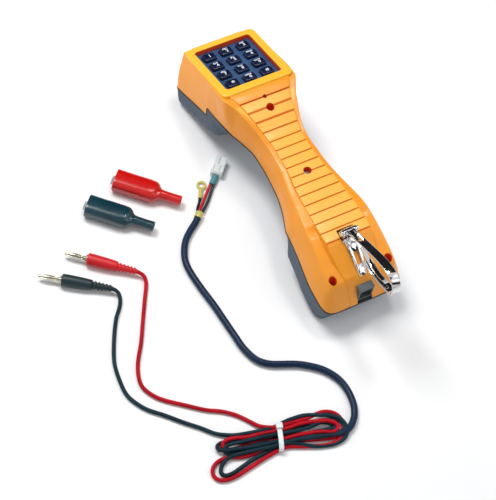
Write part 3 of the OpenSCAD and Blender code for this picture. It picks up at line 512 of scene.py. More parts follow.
black_wound = [
    (-64, -158.6, 4.6), (-54, -161, 4.8), (-45.4, -161.8, 4.4), (-38, -161.4, 4.8), (-31, -162, 5.4),
    (-23, -163.4, 5.8), (-14, -167.4, 6), (-5.4, -171.6, 5.9), (0, -177, 5.4), (1.2, -184, 4.2),
    (-2, -189.4, 2.9), (-8, -191.2, 1.9), (-15, -190.6, 1.6), (-27, -186.4, 1.8), (-37, -180, 3),
    (-47, -174, 4.6), (-56, -171.4, 4.8), (-66, -169.4, 4.8), (-79, -165.6, 4.8), (-86.4, -163.2, 4.4),
    (-91.2, -159.8, 3.2), (-89.4, -156, 2), (-83.6, -156, 1.6), (-73, -159.4, 1.6), (-60, -162.6, 1.6),
    (-47, -165.6, 1.6), (-37, -168, 1.6), (-27, -169, 1.7), (-16, -171, 1.8), (-8.6, -174.4, 1.8),
    (-6, -179, 1.9), (-9.4, -183.4, 2.6), (-16, -183.8, 3.8), (-25, -181, 4.6), (-36, -177.6, 4.8),
    (-46, -176, 4.6), (-56, -174.4, 4.4), (-68, -171.8, 4.4), (-79, -169.4, 3.8), (-87, -168.4, 2.8),
    (-93, -170.6, 1.9), (-97, -175, 1.6), (-95.6, -179.2, 1.6), (-88.4, -179.6, 1.6), (-76, -177.2, 1.6),
    (-62, -175.8, 1.6), (-49, -175.4, 1.8), (-38, -177.4, 3.2), (-28, -179.2, 4.6), (-18, -183, 4.8),
    (-9, -186, 4.6), (-2, -186, 4.2), (0.4, -180.6, 3.8), (-3, -175, 3.4), (-10, -172.4, 3.6),
    (-18, -172.6, 4.4), (-26, -172.8, 5), (-34, -171.4, 5.4), (-43, -169.2, 5.4), (-50, -167.4, 5.4),
    (-60, -165, 5.2), (-75, -162, 5), (-83, -160, 4.4), (-87.6, -161.8, 3.2), (-86.4, -165.4, 2.1),
    (-80, -166.6, 1.6), (-68, -166.2, 1.6), (-58, -168, 1.6), (-47, -169.8, 1.6), (-36, -172.6, 1.6),
    (-24, -175.8, 1.6), (-12, -178.8, 1.8), (-4, -181.4, 2.3)]


def add_cord(name, route, diameter, material, replaces, step=1.2):
    path = smooth_path(spline_points(route, step), 3)
    cord = sweep(name, path, [(diameter / 2 * math.cos(a), diameter / 2 * math.sin(a)) for a in full_turn(16)])
    finish_piece(cord, "cord_set", material, replaces)
    return cord, path


main_cord = add_cord("main_cord_vinyl", main_route[::-1], MAIN_D, M["cord_navy"], ["main_cord"])
red_cord = add_cord("red_lead_cord", (red_free + red_wound)[::-1], LEAD_D, M["lead_red"], ["red_lead"])
black_cord = add_cord("black_lead_cord", (black_free + black_wound)[::-1], LEAD_D, M["lead_black"],
                      ["black_lead", "lead_hank"])

# ---------------------------------------------------------------- the handset's shells
# Tables along the spine: its height and lean, the parting line, the side's share of the half width, the rail's
# and panel's half widths, and the heights of rail, top and bottom above the spine
SPINE = [(0, 23.2), (25, 29.9), (50, 36.4), (62, 38.5), (75, 39), (110, 39), (150, 39), (160, 38.6), (172, 36.2),
         (198, 27.8), (232.6, 16.6)]
TILT = [(0, 0), (136, 0), (146, 0.15), (156, 0.85), (166, 1), (229, 1), (232.6, 0.85)]
PARTING = [(0, 0), (160, 0), (170, 3), (180, 6), (187, 8), (189, 7.6), (190.4, 0), (240, 0)]
SIDE = [(0, .72), (1, .83), (3, .905), (6, .955), (10, .98), (27, 1), (46, .955), (60, .93), (69, .91), (78, .815),
        (87, .73), (97, .663), (108, .625), (121, .597), (131, .597), (140, .613), (152, .713), (165, .84),
        (176, .92), (187, .965), (198, .985), (212, 1.022), (226, 1.06), (230, 1.065), (231.6, 1.04),
        (232.6, .985)]
RAIL = [(0, 20), (2, 23.5), (6, 26), (13, 27.5), (25, 27.6), (40, 27), (56, 26.2), (71, 24), (86, 21.6),
        (100, 19.1), (112, 17.5), (129, 16.6), (144, 19.1), (157, 25.6), (166, 31.2), (198, 30.8), (226, 29.6),
        (229.8, 29.2), (231.6, 28), (232.6, 25.5)]
RAIL_H = [(0, 1.2), (4, 9), (10, 18.4), (13, 20.2), (25, 22), (40, 23), (56, 22.2), (71, 20.4), (86, 18.8),
          (100, 18.8), (112, 20), (129, 20.6), (144, 23.2), (157, 29), (166, 32.2), (229.5, 32.2), (232.6, 30.5)]
PANEL = [(0, 12), (10, 14), (22, 17), (35, 18.6), (54, 18.5), (72, 17.6), (89, 16), (106, 13.6), (123, 12.9),
         (132, 13.4), (140, 14.7), (147, 16.4), (153, 18.7), (160, 22), (166, 25), (226, 25), (232.6, 20)]
TOP = [(0, 1.5), (10, 18), (11.5, 19.5), (34, 28.2), (38, 28.6), (50, 25.6), (60, 23.8), (72, 22.8), (90, 22.4),
       (123, 21.8), (138, 21.6), (146, 22), (153, 24.2), (160, 28), (164, 31), (166, 32.4), (231, 32.4),
       (232.6, 31.4)]
BOTTOM = [(0, -1.5), (1, -3.4), (2, -5.8), (4, -11.2), (5.5, -15.1), (7.5, -20.4), (9.5, -25.3), (30, -25.7),
          (60, -24.7), (62, -23.6), (64, -20), (66, -15), (69, -10), (75, -8), (150, -8), (165, -8.2), (170, -8.8),
          (174, -10.6), (178, -13.8), (182, -16.8), (186, -18.4), (190, -18.8), (196, -18.4), (204, -17.4),
          (230.8, -17.4), (232.6, -15.4)]
FOOT = [(0, 21), (1, 24), (2, 26), (5.5, 28.4), (9.5, 29.6), (12, 31.4), (16, 33), (25, 33.6), (44, 32.8),
        (60, 31.4), (66, 28), (75, 21), (87, 17), (97, 14.8), (108, 13.4), (121, 12.6), (131, 12.6), (140, 13.2),
        (152, 16.5), (165, 21), (174, 25.4), (180, 29.4), (187, 31.4), (232.6, 36.4)]
HEAD_TILT, HEAD_Y, HEAD_Z = 18.0, 198, 27.8
MOUTH_TILT, MOUTH_Y, RIM_Y, CUP_END, RIM_Z = 15, 34, 9.5, 60, 0.05
LENGTH, HALF_W, WALL, SEAL = 232.6, 34.4, 2.4, 1.0
GROOVES = [37 + 8.65 * k for k in range(16)]


def lookup(y, table):
    return float(np.interp(y, [a for a, _ in table], [b for _, b in table]))


def soft_lookup(y, table, reach=0.8):
    """A table with its corners rounded over a short reach; its ends stay as they are."""
    reach = min(reach, y, LENGTH - y)
    return (lookup(y - reach, table) + 2 * lookup(y, table) + lookup(y + reach, table)) / 4


def curve(y, table):
    """A smooth curve through a table, by Hermite pieces."""
    places = [a for a, _ in table]
    i = int(np.clip(np.searchsorted(places, y, side="right") - 1, 0, len(table) - 2))

    def slope(k):
        lo, hi = max(k - 1, 0), min(k + 1, len(table) - 1)
        return (table[hi][1] - table[lo][1]) / (table[hi][0] - table[lo][0])

    (x0, a), (x1, b) = table[i], table[i + 1]
    w = x1 - x0
    u = min(1.0, max(0.0, (y - x0) / w))
    return (a * (2 * u ** 3 - 3 * u * u + 1) + slope(i) * w * (u ** 3 - 2 * u * u + u)
            + b * (3 * u * u - 2 * u ** 3) + slope(i + 1) * w * (u ** 3 - u * u))


def smooth_step(value, low, high):
    t = min(1.0, max(0.0, (value - low) / (high - low)))
    return t * t * (3 - 2 * t)


def on_spine(y, x, h):
    lean = math.radians(HEAD_TILT * soft_lookup(y, TILT))
    return (HANDSET[0] + x, HANDSET[1] + y + h * math.sin(lean), HANDSET[2] + curve(y, SPINE) + h * math.cos(lean))


def half_width(y):
    return HALF_W * curve(y, SIDE)


def bottom(y):
    if RIM_Y <= y <= CUP_END:
        return RIM_Z + (y - RIM_Y) * math.tan(math.radians(MOUTH_TILT)) - curve(y, SPINE)
    return soft_lookup(y, BOTTOM, 0.5)


def rounded_polyline(points, cuts, steps=4):
    """Rounds each inner corner of an open outline; always the same number of points."""
    pts = [np.array(p, float) for p in points]
    out = [pts[0]]
    for i in range(1, len(pts) - 1):
        a, b, c = pts[i - 1], pts[i], pts[i + 1]
        la, lc = np.linalg.norm(a - b), np.linalg.norm(c - b)
        start = b + (a - b) * (min(cuts[i - 1], 0.45 * la) / max(la, 1e-6))
        end = b + (c - b) * (min(cuts[i - 1], 0.45 * lc) / max(lc, 1e-6))
        for k in range(steps + 1):
            t = k / steps
            out.append((1 - t) ** 2 * start + 2 * t * (1 - t) * b + t * t * end)
    out.append(pts[-1])
    return out


def panel_height(y):
    return max(soft_lookup(y, TOP, 0.6), curve(y, RAIL_H) + 0.3)


def groove_at(y):
    """How deep the grip's surface is cut at this place, 0 outside the grooves."""
    return 1.1 if any(abs(y - g) < 0.36 for g in groove_places) else 0.0


def upper_outline(y, inset=0.0, cut=0.0):
    p, w = soft_lookup(y, PARTING, 0.3), half_width(y) - inset
    rail, rail_h = curve(y, RAIL) - inset, curve(y, RAIL_H) - inset
    panel, top = curve(y, PANEL) - inset, panel_height(y) - inset
    low = p - 1 if inset else p + SEAL / 2
    rail_h = max(rail_h, low + 0.3)
    top = max(top, low + 0.5)
    valley = (1 - smooth_step(y, 51, 56.5)) * smooth_step(y, 17, 27)
    floor_h = (1 - valley) * min(top - 1.3, rail_h + 1.4) + valley * min(top - 3.6, rail_h + 0.2)
    floor_h = max(floor_h, low + 0.25)
    points = [(w, low), (max(w - 0.25 * (w - rail), rail), low + 0.45 * (rail_h - low)), (rail, rail_h),
              (min(panel + 1.3 + 1.0 * valley, rail - 0.5), floor_h), (panel + 0.35 + 0.4 * valley, floor_h + 0.02),
              (panel, max(top - cut, floor_h + 0.05)), (0.4 * panel, max(top - cut, floor_h + 0.05) + 0.001)]
    return rounded_polyline(points, (7, 1.2, 0.9, 0.25, 0.45))


def lower_outline(y, inset=0.0):
    p, w, base = soft_lookup(y, PARTING, 0.3), half_width(y) - inset, bottom(y) + inset
    high = p + 1 if inset else p - SEAL / 2
    low_h = min(base, high - 0.6)
    soft = min(3.2, (high - low_h) * 0.6)
    foot = min(w - 0.6, curve(y, FOOT) - inset)
    points = [(w, high), (max(0.5 * (w + foot) + 0.2, foot + 0.3), high - 0.5 * (high - low_h)),
              (foot, low_h + soft), (foot - soft * 0.75, low_h), (0.4 * foot, low_h)]
    return rounded_polyline(points, (4, 3, 2.2))


def shell_rings(outline, stations, **extra):
    rings = []
    for y in stations:
        half = outline(y, **extra)
        ring = [on_spine(y, x, h) for x, h in half] + [on_spine(y, -x, h) for x, h in half[::-1]]
        rings.append(ring)
    return rings


def groove_place(world_y):
    """The spine place whose panel surface lies at this distance along the handset."""
    low, high = world_y - 14, world_y + 2
    for _ in range(40):
        mid = (low + high) / 2
        if on_spine(mid, 0, panel_height(mid))[1] - HANDSET[1] < world_y:
            low = mid
        else:
            high = mid
    return (low + high) / 2


groove_places = [groove_place(g) for g in GROOVES]
stations = sorted(set([round(v, 3) for v in np.concatenate([
    [0, 0.15, 0.4, 0.7], np.arange(1, 13, 0.75), np.arange(13, 54, 1.5), np.arange(54, 58, 0.8),
    np.arange(58, 186, 1.5), np.arange(186, 192, 0.4), np.arange(192, 228, 2.0),
    np.arange(228, 232.6, 0.45), [232.6]])]))
upper_stations = [y for y in stations if all(abs(y - g) > 0.75 for g in groove_places)]
for g in groove_places:
    upper_stations += [g - 0.55, g - 0.3, g + 0.3, g + 0.55]
upper_stations.sort()
inner_stations = [y for y in stations[::2] if 6.2 < y < 229.2] + [229.6]


def tilted(degrees, y0, z0):
    c, s = math.cos(math.radians(degrees)), math.sin(math.radians(degrees))
    return lambda p: (HANDSET[0] + p[0], HANDSET[1] + y0 + p[1] * c - p[2] * s,
                      HANDSET[2] + z0 + p[1] * s + p[2] * c)


head = tilted(-HEAD_TILT, HEAD_Y, HEAD_Z)
mouth = tilted(MOUTH_TILT, MOUTH_Y, RIM_Z + (MOUTH_Y - RIM_Y) * math.tan(math.radians(MOUTH_TILT)))


def in_handset(point):
    return tuple(np.array(point) + HANDSET)


# painted shade: a deep red-orange standing for the shade and orange bounce light inside screw wells, holes and
# recesses
painted_recess_shade = surface("painted_recess_shade", (0.80, 0.055, 0.004), (0.88, 0.075, 0.006), (0.45, 0.6), 1200, 0.00003)
# painted shade: a darker orange for the shade that falls in the grip's grooves
painted_groove_shade = surface("painted_groove_shade", (0.60, 0.10, 0.003), (0.68, 0.13, 0.005), (0.45, 0.6), 1200, 0.00003)
# painted highlight: a lighter yellow for the sheen on the grip panel's upward faces
painted_panel_highlight = surface("painted_panel_highlight", (0.90, 0.42, 0.04), (0.95, 0.50, 0.07), (0.33, 0.46), 1500, 0.00004, 9.0,
                       coat=0.12, strength=0.25)
# [x, y, the head's seat, upper boss's foot and radius, lower boss's foot and top, lower hole's foot]
SCREWS = [(0, 157.6, 54, 44.6, 6, 20, 39, 34), (0, 98.6, 54, 44.6, 6, 20, 39, 34),
          (-23.6, 14.5, 36, 27.2, 4.4, -5, 27, 5.6), (23.6, 14.5, 36, 27.2, 4.4, -5, 27, 5.6)]


# cut faces take the painted recess shade colour unless told otherwise
def cutter(name, outline, low, high, place, material=painted_recess_shade):
    piece = prism(name, outline, low, high, place)
    piece.data.materials.append(material)
    return piece


def round_cutter(name, radius, low, high, place, material=painted_recess_shade):
    piece = cylinder(name, radius, low, high, place)
    piece.data.materials.append(material)
    return piece


def solid(name, rings, material):
    obj = tidy_normals(add_mesh(name, *loft(rings)))
    obj.data.materials.append(material)
    return obj


upper = solid("upper_shell_moulding", shell_rings(lambda y: upper_outline(y, cut=groove_at(y)), upper_stations),
              M["case_yellow"])
upper.data.materials.append(painted_groove_shade)
upper.data.materials.append(painted_panel_highlight)
# faces in the grooves take the painted groove shade (material index 1)
for face in upper.data.polygons:
    place = face.center.y / MM - HANDSET[1]
    across = abs(face.center.x / MM - HANDSET[0])
    if face.center.z / MM > 58 and any(abs(place - g) < 0.42 and across < curve(p, PANEL) + 0.1
                                       for g, p in zip(GROOVES, groove_places)):
        face.material_index = 1
    # upward-facing panel faces take the painted highlight (material index 2)
    elif face.normal.z > 0.8 and 36.5 < place < 166 and across < curve(place, PANEL) - 0.1:
        face.material_index = 2
bosses = [round_cutter("boss", r, low, 90, moved(in_handset, x, y), M["case_yellow"])
          for x, y, _, low, r, *_ in SCREWS]
bosses.append(cutter("frame", rounded_rectangle(52.8, 58.2, 2), 23.2, 40, moved(head, 0, 0.2), M["case_yellow"]))
hollow = solid("hollow", shell_rings(upper_outline, inner_stations, inset=WALL), M["case_yellow"])
carve(upper, [carve(hollow, bosses)])
# the ledge, window, lamp hole, recess, wells and holes leave the painted recess shade on their cut faces
cuts = [cutter("ledge", rounded_rectangle(44.8, 50.2, 2), 18, 42, moved(head, 0, 0.2)),
        cutter("window", rounded_rectangle(48.6, 54.0, 2.4), 27.7, 42, moved(head, 0, 0.2)),
        round_cutter("lamp_hole", 1.55, 50, 80, moved(in_handset, 0, 166.8)),
        cutter("jack", [(-6.3, -3), (6.3, -3), (6.3, 17), (-6.3, 17)], 15, 39.5, in_handset, M["case_yellow"]),
        cutter("recess", rounded_rectangle(14, 10.8, 0.8), 59, 72, moved(in_handset, 0, 38.4))]
for x, y, seat, *_ in SCREWS:
    cuts.append(round_cutter("well", 3.2, seat, 90, moved(in_handset, x, y)))
    cuts.append(round_cutter("hole", 1.8, 20, 60, moved(in_handset, x, y)))
carve(upper, cuts)
shade_by_angle(upper, 32)
finish_piece(upper, "case", None, ["upper_shell"])

lower = solid("lower_shell_moulding", shell_rings(lower_outline, stations), M["case_blue"])
hollow = solid("hollow", shell_rings(lower_outline, inner_stations, inset=WALL), M["case_blue"])
carve(lower, [carve(hollow, [round_cutter("boss", 4, low, high, moved(in_handset, x, y), M["case_blue"])
                             for x, y, _, _, _, low, high, _ in SCREWS])])


def hole_ring(name, count, circle, radius, low, high, place):
    """Round holes in a ring, through the lower shell."""
    return [round_cutter("%s%d" % (name, k), radius, low, high,
                         moved(place, circle * math.cos(a), circle * math.sin(a)), M["case_blue"])
            for k, a in enumerate(full_turn(count))]


cuts = hole_ring("ear", 6, 7, 1.3, -30, -10, moved(head, 0, 14.5)) + hole_ring("mic", 5, 5, 1.1, -6, 6, mouth)
cuts += [cutter("talk", rounded_rectangle(5, 15, 1), 28, 36, moved(in_handset, 0, 130), M["case_blue"]),
         cutter("dial", rounded_rectangle(3.6, 9, 1), 28, 36, moved(in_handset, 0, 85), M["case_blue"]),
         round_cutter("mute", 3.3, 28, 36, moved(in_handset, 0, 110), M["case_blue"])]
cuts += [round_cutter("screw", 1.25, foot, foot + 30, moved(in_handset, x, y), M["case_blue"])
         for x, y, *_, foot in SCREWS]
carve(lower, cuts)
shade_by_angle(lower, 32)
finish_piece(lower, "case", None, ["lower_shell"])

# seal: a thin rounded bead all round the parting line
seal_rings = []
for side, places in ((1, stations), (-1, stations[::-1])):
    for y in places:
        h, w = soft_lookup(y, PARTING, 0.3), half_width(y)
        yi = min(max(y, 2.2), 230.6)
        hi, wi = soft_lookup(yi, PARTING, 0.3), half_width(yi) - min(2.2, half_width(yi))
        seal_rings.append([on_spine(yi, side * wi, hi - 0.5), on_spine(y, side * (w - 0.2), h - 0.8),
                           on_spine(y, side * (w + 0.35), h - 0.6), on_spine(y, side * (w + 0.35), h + 0.6),
                           on_spine(y, side * (w - 0.2), h + 0.8), on_spine(yi, side * wi, hi + 0.5)])
seal = tidy_normals(add_mesh("shell_seal_bead", *loft(seal_rings, loop=True)))
shade_by_angle(seal, 50)
finish_piece(seal, "case", M["seal_black"], ["shell_seal"])


# bezel: a flat frame with soft edges round the keypad window
def frame_ring(width, length, radius, height, dy):
    return [head((x, y + dy, height)) for x, y in rounded_rectangle(width, length, radius, 8)]


bezel_rings = [frame_ring(59.6, 65.0, 4.6, 31.0, -0.6), frame_ring(60.6, 66.0, 5.0, 31.4, -0.6),
               frame_ring(60.6, 66.0, 5.0, 32.6, -0.6)]
for k in range(1, 6):
    a = math.radians(90 * k / 5)
    bezel_rings.append(frame_ring(60.6 - 2.2 * (1 - math.cos(a)), 66 - 2.2 * (1 - math.cos(a)), 4.4,
                                  32.6 + 1.1 * math.sin(a), -0.6))
for k in range(0, 6):
    a = math.radians(90 * k / 5)
    bezel_rings.append(frame_ring(47.8 + 1.3 * (1 - math.sin(a)), 53.2 + 1.3 * (1 - math.sin(a)), 2.4,
                                  33.7 - 0.65 * (1 - math.cos(a)), 0.2))
bezel_rings += [frame_ring(47.8, 53.2, 2.2, 31.6, 0.2), frame_ring(47.8, 53.2, 2.2, 29.5, 0.2),
                frame_ring(48.4, 53.8, 2.2, 29.4, 0.2), frame_ring(50.4, 55.8, 2.2, 31.0, 0.2)]
bezel = tidy_normals(add_mesh("bezel_frame", *loft(bezel_rings, loop=True)))
bezel.data.materials.append(M["bezel_yellow"])
bezel.data.materials.append(painted_recess_shade)
origin = Vector(head((0, 0, 0)))
local_y, local_z = (Vector(head(axis)) - origin for axis in ((0, 1, 0), (0, 0, 1)))
# the walls inside the keypad window get the painted recess shade colour
for face in bezel.data.polygons:
    centre = face.center / MM - origin
    if centre.dot(local_z) < 32.6 and abs(centre.x) < 24.05 and abs(centre.dot(local_y) - 0.2) < 26.8:
        face.material_index = 1
shade_by_angle(bezel, 50)
finish_piece(bezel, "case", None, ["upper_shell"])

# ---------------------------------------------------------------- keypad
plate = prism("keypad_plate_moulding", rounded_rectangle(47.5, 52.9, 1.8), 27.7, 29.3, moved(head, 0, 0.2))
plate.data.materials.append(M["plate_blue"])
KEYS = [*"123456789", "star", "0", "hash"]
LETTERS = {"2": "ABC", "3": "DEF", "4": "GHI", "5": "JKL", "6": "MNO", "7": "PRS", "8": "TUV", "9": "WXY",
           "0": "OPER"}


def key_place(index):
    return (index % 3 - 1) * 14.8, 0.2 + (1.5 - index // 3) * 12.5


tidy_normals(plate)
carve(plate, [cutter("hole", rounded_rectangle(10.7, 8.9, 1.5), 26, 31, moved(head, *key_place(i)),
                     M["plate_blue"]) for i in range(12)])
bevel(plate, 0.25, 2)
finish_piece(plate, "case", None, ["keypad_plate"])


def legend(name, text, size, place):
    data = bpy.data.curves.new(name, "FONT")
    data.body, data.size, data.extrude, data.offset = text, size * MM, 0.03 * MM, 0.07 * MM
    data.align_x, data.align_y = "CENTER", "CENTER"
    data.resolution_u = 3
    obj = bpy.data.objects.new(name, data)
    COLLECTION.objects.link(obj)
    bpy.context.view_layer.update()
    mesh = bpy.data.meshes.new_from_object(obj.evaluated_get(bpy.context.evaluated_depsgraph_get()))
    bpy.data.objects.remove(obj)
    bpy.data.curves.remove(data)
    for v in mesh.vertices:
        v.co = Vector(place(tuple(v.co / MM))) * MM
    out = bpy.data.objects.new(name, mesh)
    COLLECTION.objects.link(out)
    return out


def join(objs):
    """One object from several, in the first one's name."""
    work = bmesh.new()
    materials = []
    for obj in objs:
        offset = len(materials)
        materials += list(obj.data.materials)
        before = len(work.faces)
        work.from_mesh(obj.data)
        work.faces.ensure_lookup_table()
        for face in work.faces[before:]:
            face.material_index += offset
    first = objs[0]
    work.to_mesh(first.data)
    work.free()
    first.data.materials.clear()
    for m in materials:
        first.data.materials.append(m)
    remove(objs[1:])
    return first


for index, label in enumerate(KEYS):
    kx, ky = key_place(index)
    place = moved(head, kx, ky)
    rings = []
    for width, length, radius, height in (
            (12, 10.2, 1.2, 26.3), (12, 10.2, 1.2, 27.2), (10.1, 8.3, 1.5, 27.3), (10, 8.2, 1.5, 30.6),
            (9.86, 8.06, 1.5, 31.25), (9.5, 7.7, 1.5, 31.65), (8.9, 7.1, 1.5, 31.86), (8.2, 6.4, 1.4, 31.9),
            (6.4, 4.8, 1.2, 31.8), (3.6, 2.6, 0.8, 31.7), (1.2, 0.8, 0.3, 31.66)):
        rings.append([place((x, y, height)) for x, y in rounded_rectangle(width, length, radius, 5)])
    cap = tidy_normals(add_mesh("cap_key_" + label, *loft(rings)))
    shade_by_angle(cap, 40)
    finish_piece(cap, "key_" + label, M["key_navy"], ["key_" + label])
    symbol = {"star": "*", "hash": "#"}.get(label, label)
    size = 7.0 if label == "star" else 4.6 if label in ("hash", "1") else 4.1
    down = -1.2 if label == "star" else 0.0 if label not in LETTERS else -0.9
    marks = [legend("legend_key_" + label, symbol, size, moved(place, 0.6, down, 31.93))]
    if label in LETTERS:
        marks.append(legend("letters_key_" + label, LETTERS[label], 2.3, moved(place, -0.2, 1.95, 31.93)))
    for mark in marks:
        mark.data.materials.clear()
        mark.data.materials.append(M["legend_white"])
    finish_piece(join(marks), "key_" + label, M["legend_white"])

# ---------------------------------------------------------------- belt clip
HOOK = [(37, 68.2), (33, 70), (25, 74.2), (14, 79.4), (4, 84), (-6, 87.6), (-14, 88.8), (-20.5, 87), (-24.4, 82.6),
        (-25, 77.4), (-22.6, 73.6), (-17, 70.9), (-9, 67.6), (-1, 65.4), (5, 65.2), (11, 66.2)]
PIN_Y, PIN_Z = 38, 66
GATE = [(37, 68.2), (33, 69.5), (26, 70.2), (18, 69.6), (9, 67.9), (0, 67.9), (-8, 70.2), (-14, 73.4)]


def strap(name, line, width, thick):
    """A strap of the given width across the handset, bent along (y, z) points."""
    path = smooth_path(spline_points([(0, y, z) for y, z in line], 0.5), 6)
    tangent = np.gradient(path, axis=0)
    tangent /= np.linalg.norm(tangent, axis=1)[:, None]
    rings = []
    for p, t in zip(path, tangent):
        normal = np.array([0, -t[2], t[1]])
        rings.append([HANDSET + p + np.array([a, 0, 0]) + b * normal
                      for a, b in rounded_rectangle(width, thick, 0.32 * thick, 4)])
    return tidy_normals(add_mesh(name, *loft(rings)))


def barrel(name, x0, x1, radius, bore):
    """A ring round the clip's pin, with softened rims."""
    rings = []
    for x, r in ((x0, bore), (x0, radius - 0.25), (x0 + 0.25, radius), (x1 - 0.25, radius), (x1, radius - 0.25),
                 (x1, bore)):
        rings.append([in_handset((x, PIN_Y + r * math.cos(a), PIN_Z + r * math.sin(a))) for a in full_turn(48)])
    return tidy_normals(add_mesh(name, *loft(rings, loop=True)))


hook = strap("clip_hook_strap", HOOK, 7, 1.3)
carve(hook, [prism("slot", rounded_rectangle(4.2, 26, 1.4), 60, 90, moved(in_handset, 0, 35))])
hook = join([hook, barrel("left", -3.9, -2.2, 2.8, 1.56), barrel("right", 2.2, 3.9, 2.8, 1.56)])
shade_by_angle(hook, 40)
finish_piece(hook, "clip_hook", M["chrome"], ["clip_hook"])
gate = join([strap("clip_gate_leaf", GATE, 3.4, 0.7), barrel("knuckle", -1.9, 1.9, 2.8, 1.56)])
shade_by_angle(gate, 40)
finish_piece(gate, "clip_gate", M["chrome"], ["clip_gate"])

# the bracket's plate lies on the slope from the end face up to the pin
slope = tilted(math.degrees(math.atan2(61.6 - 45.4, 35 - 10.6)), 10.6, 45.4)
bracket = tidy_normals(prism("clip_bracket_plate", [(-3, 0), (3, 0), (6, 29.4), (-6, 29.4)], 0.3, 1.35, slope))
carve(bracket, [prism("slot", rounded_rectangle(4, 10, 1), -1, 3, moved(slope, 0, 13.6)),
                cylinder("rivet_low", 1.05, -1, 3, moved(slope, 0, 4.4), 24),
                cylinder("rivet_high", 1.05, -1, 3, moved(slope, 0, 23), 24)])
bevel(bracket, 0.2, 2)
ears = [bracket]
for x0 in (-6, 4.2):
    ears.append(barrel("ear", x0, x0 + 1.8, 2.6, 1.5))
    wall = tidy_normals(prism("wall", [(x0, 35.4), (x0 + 1.8, 35.4), (x0 + 1.8, 40.6), (x0, 40.6)], 59.2, 64.4,
                              in_handset))
    ears.append(bevel(wall, 0.15, 2))
ears.append(bevel(tidy_normals(prism("base", rounded_rectangle(12, 7.4, 0.5), 59.2, 60.4,
                                     moved(in_handset, 0, 36.9))), 0.15, 2))
bracket = join(ears)
shade_by_angle(bracket, 40)
finish_piece(bracket, "case", M["chrome"], ["clip_bracket"])

# ---------------------------------------------------------------- plugs
LEAVES = 4


def plug(color, at, degrees, body_material):
    place = lying(at, degrees, 4.8)
    profile = [(2.1, -0.02), (3.9, 0), (4.3, 0.15), (4.6, 0.6), (4.75, 1.2), (4.75, 3), (4.68, 8), (4.58, 12),
               (4.3, 17), (4.0, 21), (3.85, 22.2), (3.6, 22.8), (3.1, 23.0), (2.8, 23.2)]
    for start, radius in ((23.4, 3.25), (26.2, 3.1), (29.0, 2.95), (31.8, 2.8), (34.4, 2.6)):
        core = radius - 0.62
        profile += [(core, start), (core, start + 0.55), (radius - 0.16, start + 0.8), (radius, start + 1.05),
                    (radius, start + 1.95), (radius - 0.16, start + 2.2), (core, start + 2.4)]
    profile += [(1.95, 37.4), (1.85, 38.0), (1.54, 38.0), (1.54, 30.0), (0.2, 30.0)]
    body = tidy_normals(add_mesh(color + "_plug_handle", *lathe(profile, place)))
    shade_by_angle(body, 45)
    finish_piece(body, "cord_set", body_material, [color + "_plug_body"])
    # pin: a collar, a shank and four bowed leaves that meet at the tip
    rings = []
    for r, s, groove in ((0.3, 7, 0), (2.0, 6.98, 0), (2.0, 0.0, 0), (3.0, -0.02, 0), (3.0, -1.0, 0),
                         (2.8, -1.2, 0), (1.75, -1.22, 0), (1.7, -3.2, 0), (1.72, -3.6, 0.9), (1.86, -6, 0.9),
                         (2.0, -9, 0.9), (2.0, -11, 0.9), (1.8, -13.6, 0.9), (1.45, -15.2, 0.9), (1.3, -15.8, 0.3),
                         (1.3, -16.4, 0), (1.1, -17.1, 0), (0.7, -17.4, 0), (0.2, -17.42, 0)):
        ring = []
        for angle in full_turn(64):
            slot = max(0.0, math.cos(LEAVES * angle)) ** 14
            rr = r * (1 - 0.42 * groove * slot)
            ring.append(place((rr * math.cos(angle + 0.6), rr * math.sin(angle + 0.6), s)))
        rings.append(ring)
    pin = tidy_normals(add_mesh(color + "_plug_spring_pin", *loft(rings)))
    shade_by_angle(pin, 38)
    finish_piece(pin, "cord_set", M["pin_nickel"], [color + "_plug_pin"])
    return body, pin


red_plug = plug("red", (-107.6, 18.2), -41, M["plug_red"])
black_plug = plug("black", (-132.6, 10), -36, M["plug_black"])


# ---------------------------------------------------------------- booted clips
# [along, half width, half height, squareness]
BOOT = [(0, 3.75, 3.75, 2), (0.15, 3.9, 3.9, 2), (0.6, 3.95, 3.95, 2), (6, 3.8, 3.8, 2), (12, 3.85, 3.85, 2),
        (15.2, 3.95, 3.95, 2), (16.2, 4.3, 4.1, 2.05), (17.2, 5.1, 4.45, 2.1), (18.4, 6.4, 5.0, 2.25),
        (19.6, 7.5, 5.6, 2.4), (20.8, 8.2, 6.0, 2.6), (22.4, 8.55, 6.22, 2.8), (26, 8.66, 6.3, 3.0),
        (33, 8.6, 6.3, 3.1), (41, 8.55, 6.3, 3.1), (48, 8.65, 6.3, 3.1), (52, 8.7, 6.3, 3.1),
        (52.7, 8.66, 6.26, 3.1), (53, 8.45, 6.05, 3.1)]


def superellipse(a, b, power):
    points = []
    for t in full_turn(72):
        c, s = math.cos(t), math.sin(t)
        points.append((a * math.copysign(abs(c) ** (2 / power), c), b * math.copysign(abs(s) ** (2 / power), s)))
    return points


def boot(color, at, material, crease):
    place = lying(at, 135, 6.3)
    along = np.unique(np.concatenate([[b[0] for b in BOOT], np.arange(1, 53, 0.8)]))
    rings = []
    for inner in (False, True):
        for s in (along[::-1] if inner else along):
            a, b, power = (float(np.interp(s, [q[0] for q in BOOT], [q[k] for q in BOOT])) for k in (1, 2, 3))
            wall = 1.1 if inner else 0.0
            ring = []
            for v, u in superellipse(a - wall, b - wall, power):
                # the soft shoulder is pinched in a slanting fold on each side
                fold = math.exp(-((s - 18.6 - 0.3 * v) / 1.3) ** 2) * crease * (0.5 + 0.5 * math.tanh(u * 0.8))
                ring.append(place((u - fold * 0.9, v, s)))
            rings.append(ring)
    piece = tidy_normals(add_mesh(color + "_boot_vinyl", *loft(rings, loop=True)))
    shade_by_angle(piece, 60)
    finish_piece(piece, color + "_clip", material, [color + "_boot"])


boot("red", (-21, 34.2), M["boot_red"], 1.0)
boot("black", (-50.3, 22.1), M["boot_black"], 0.8)

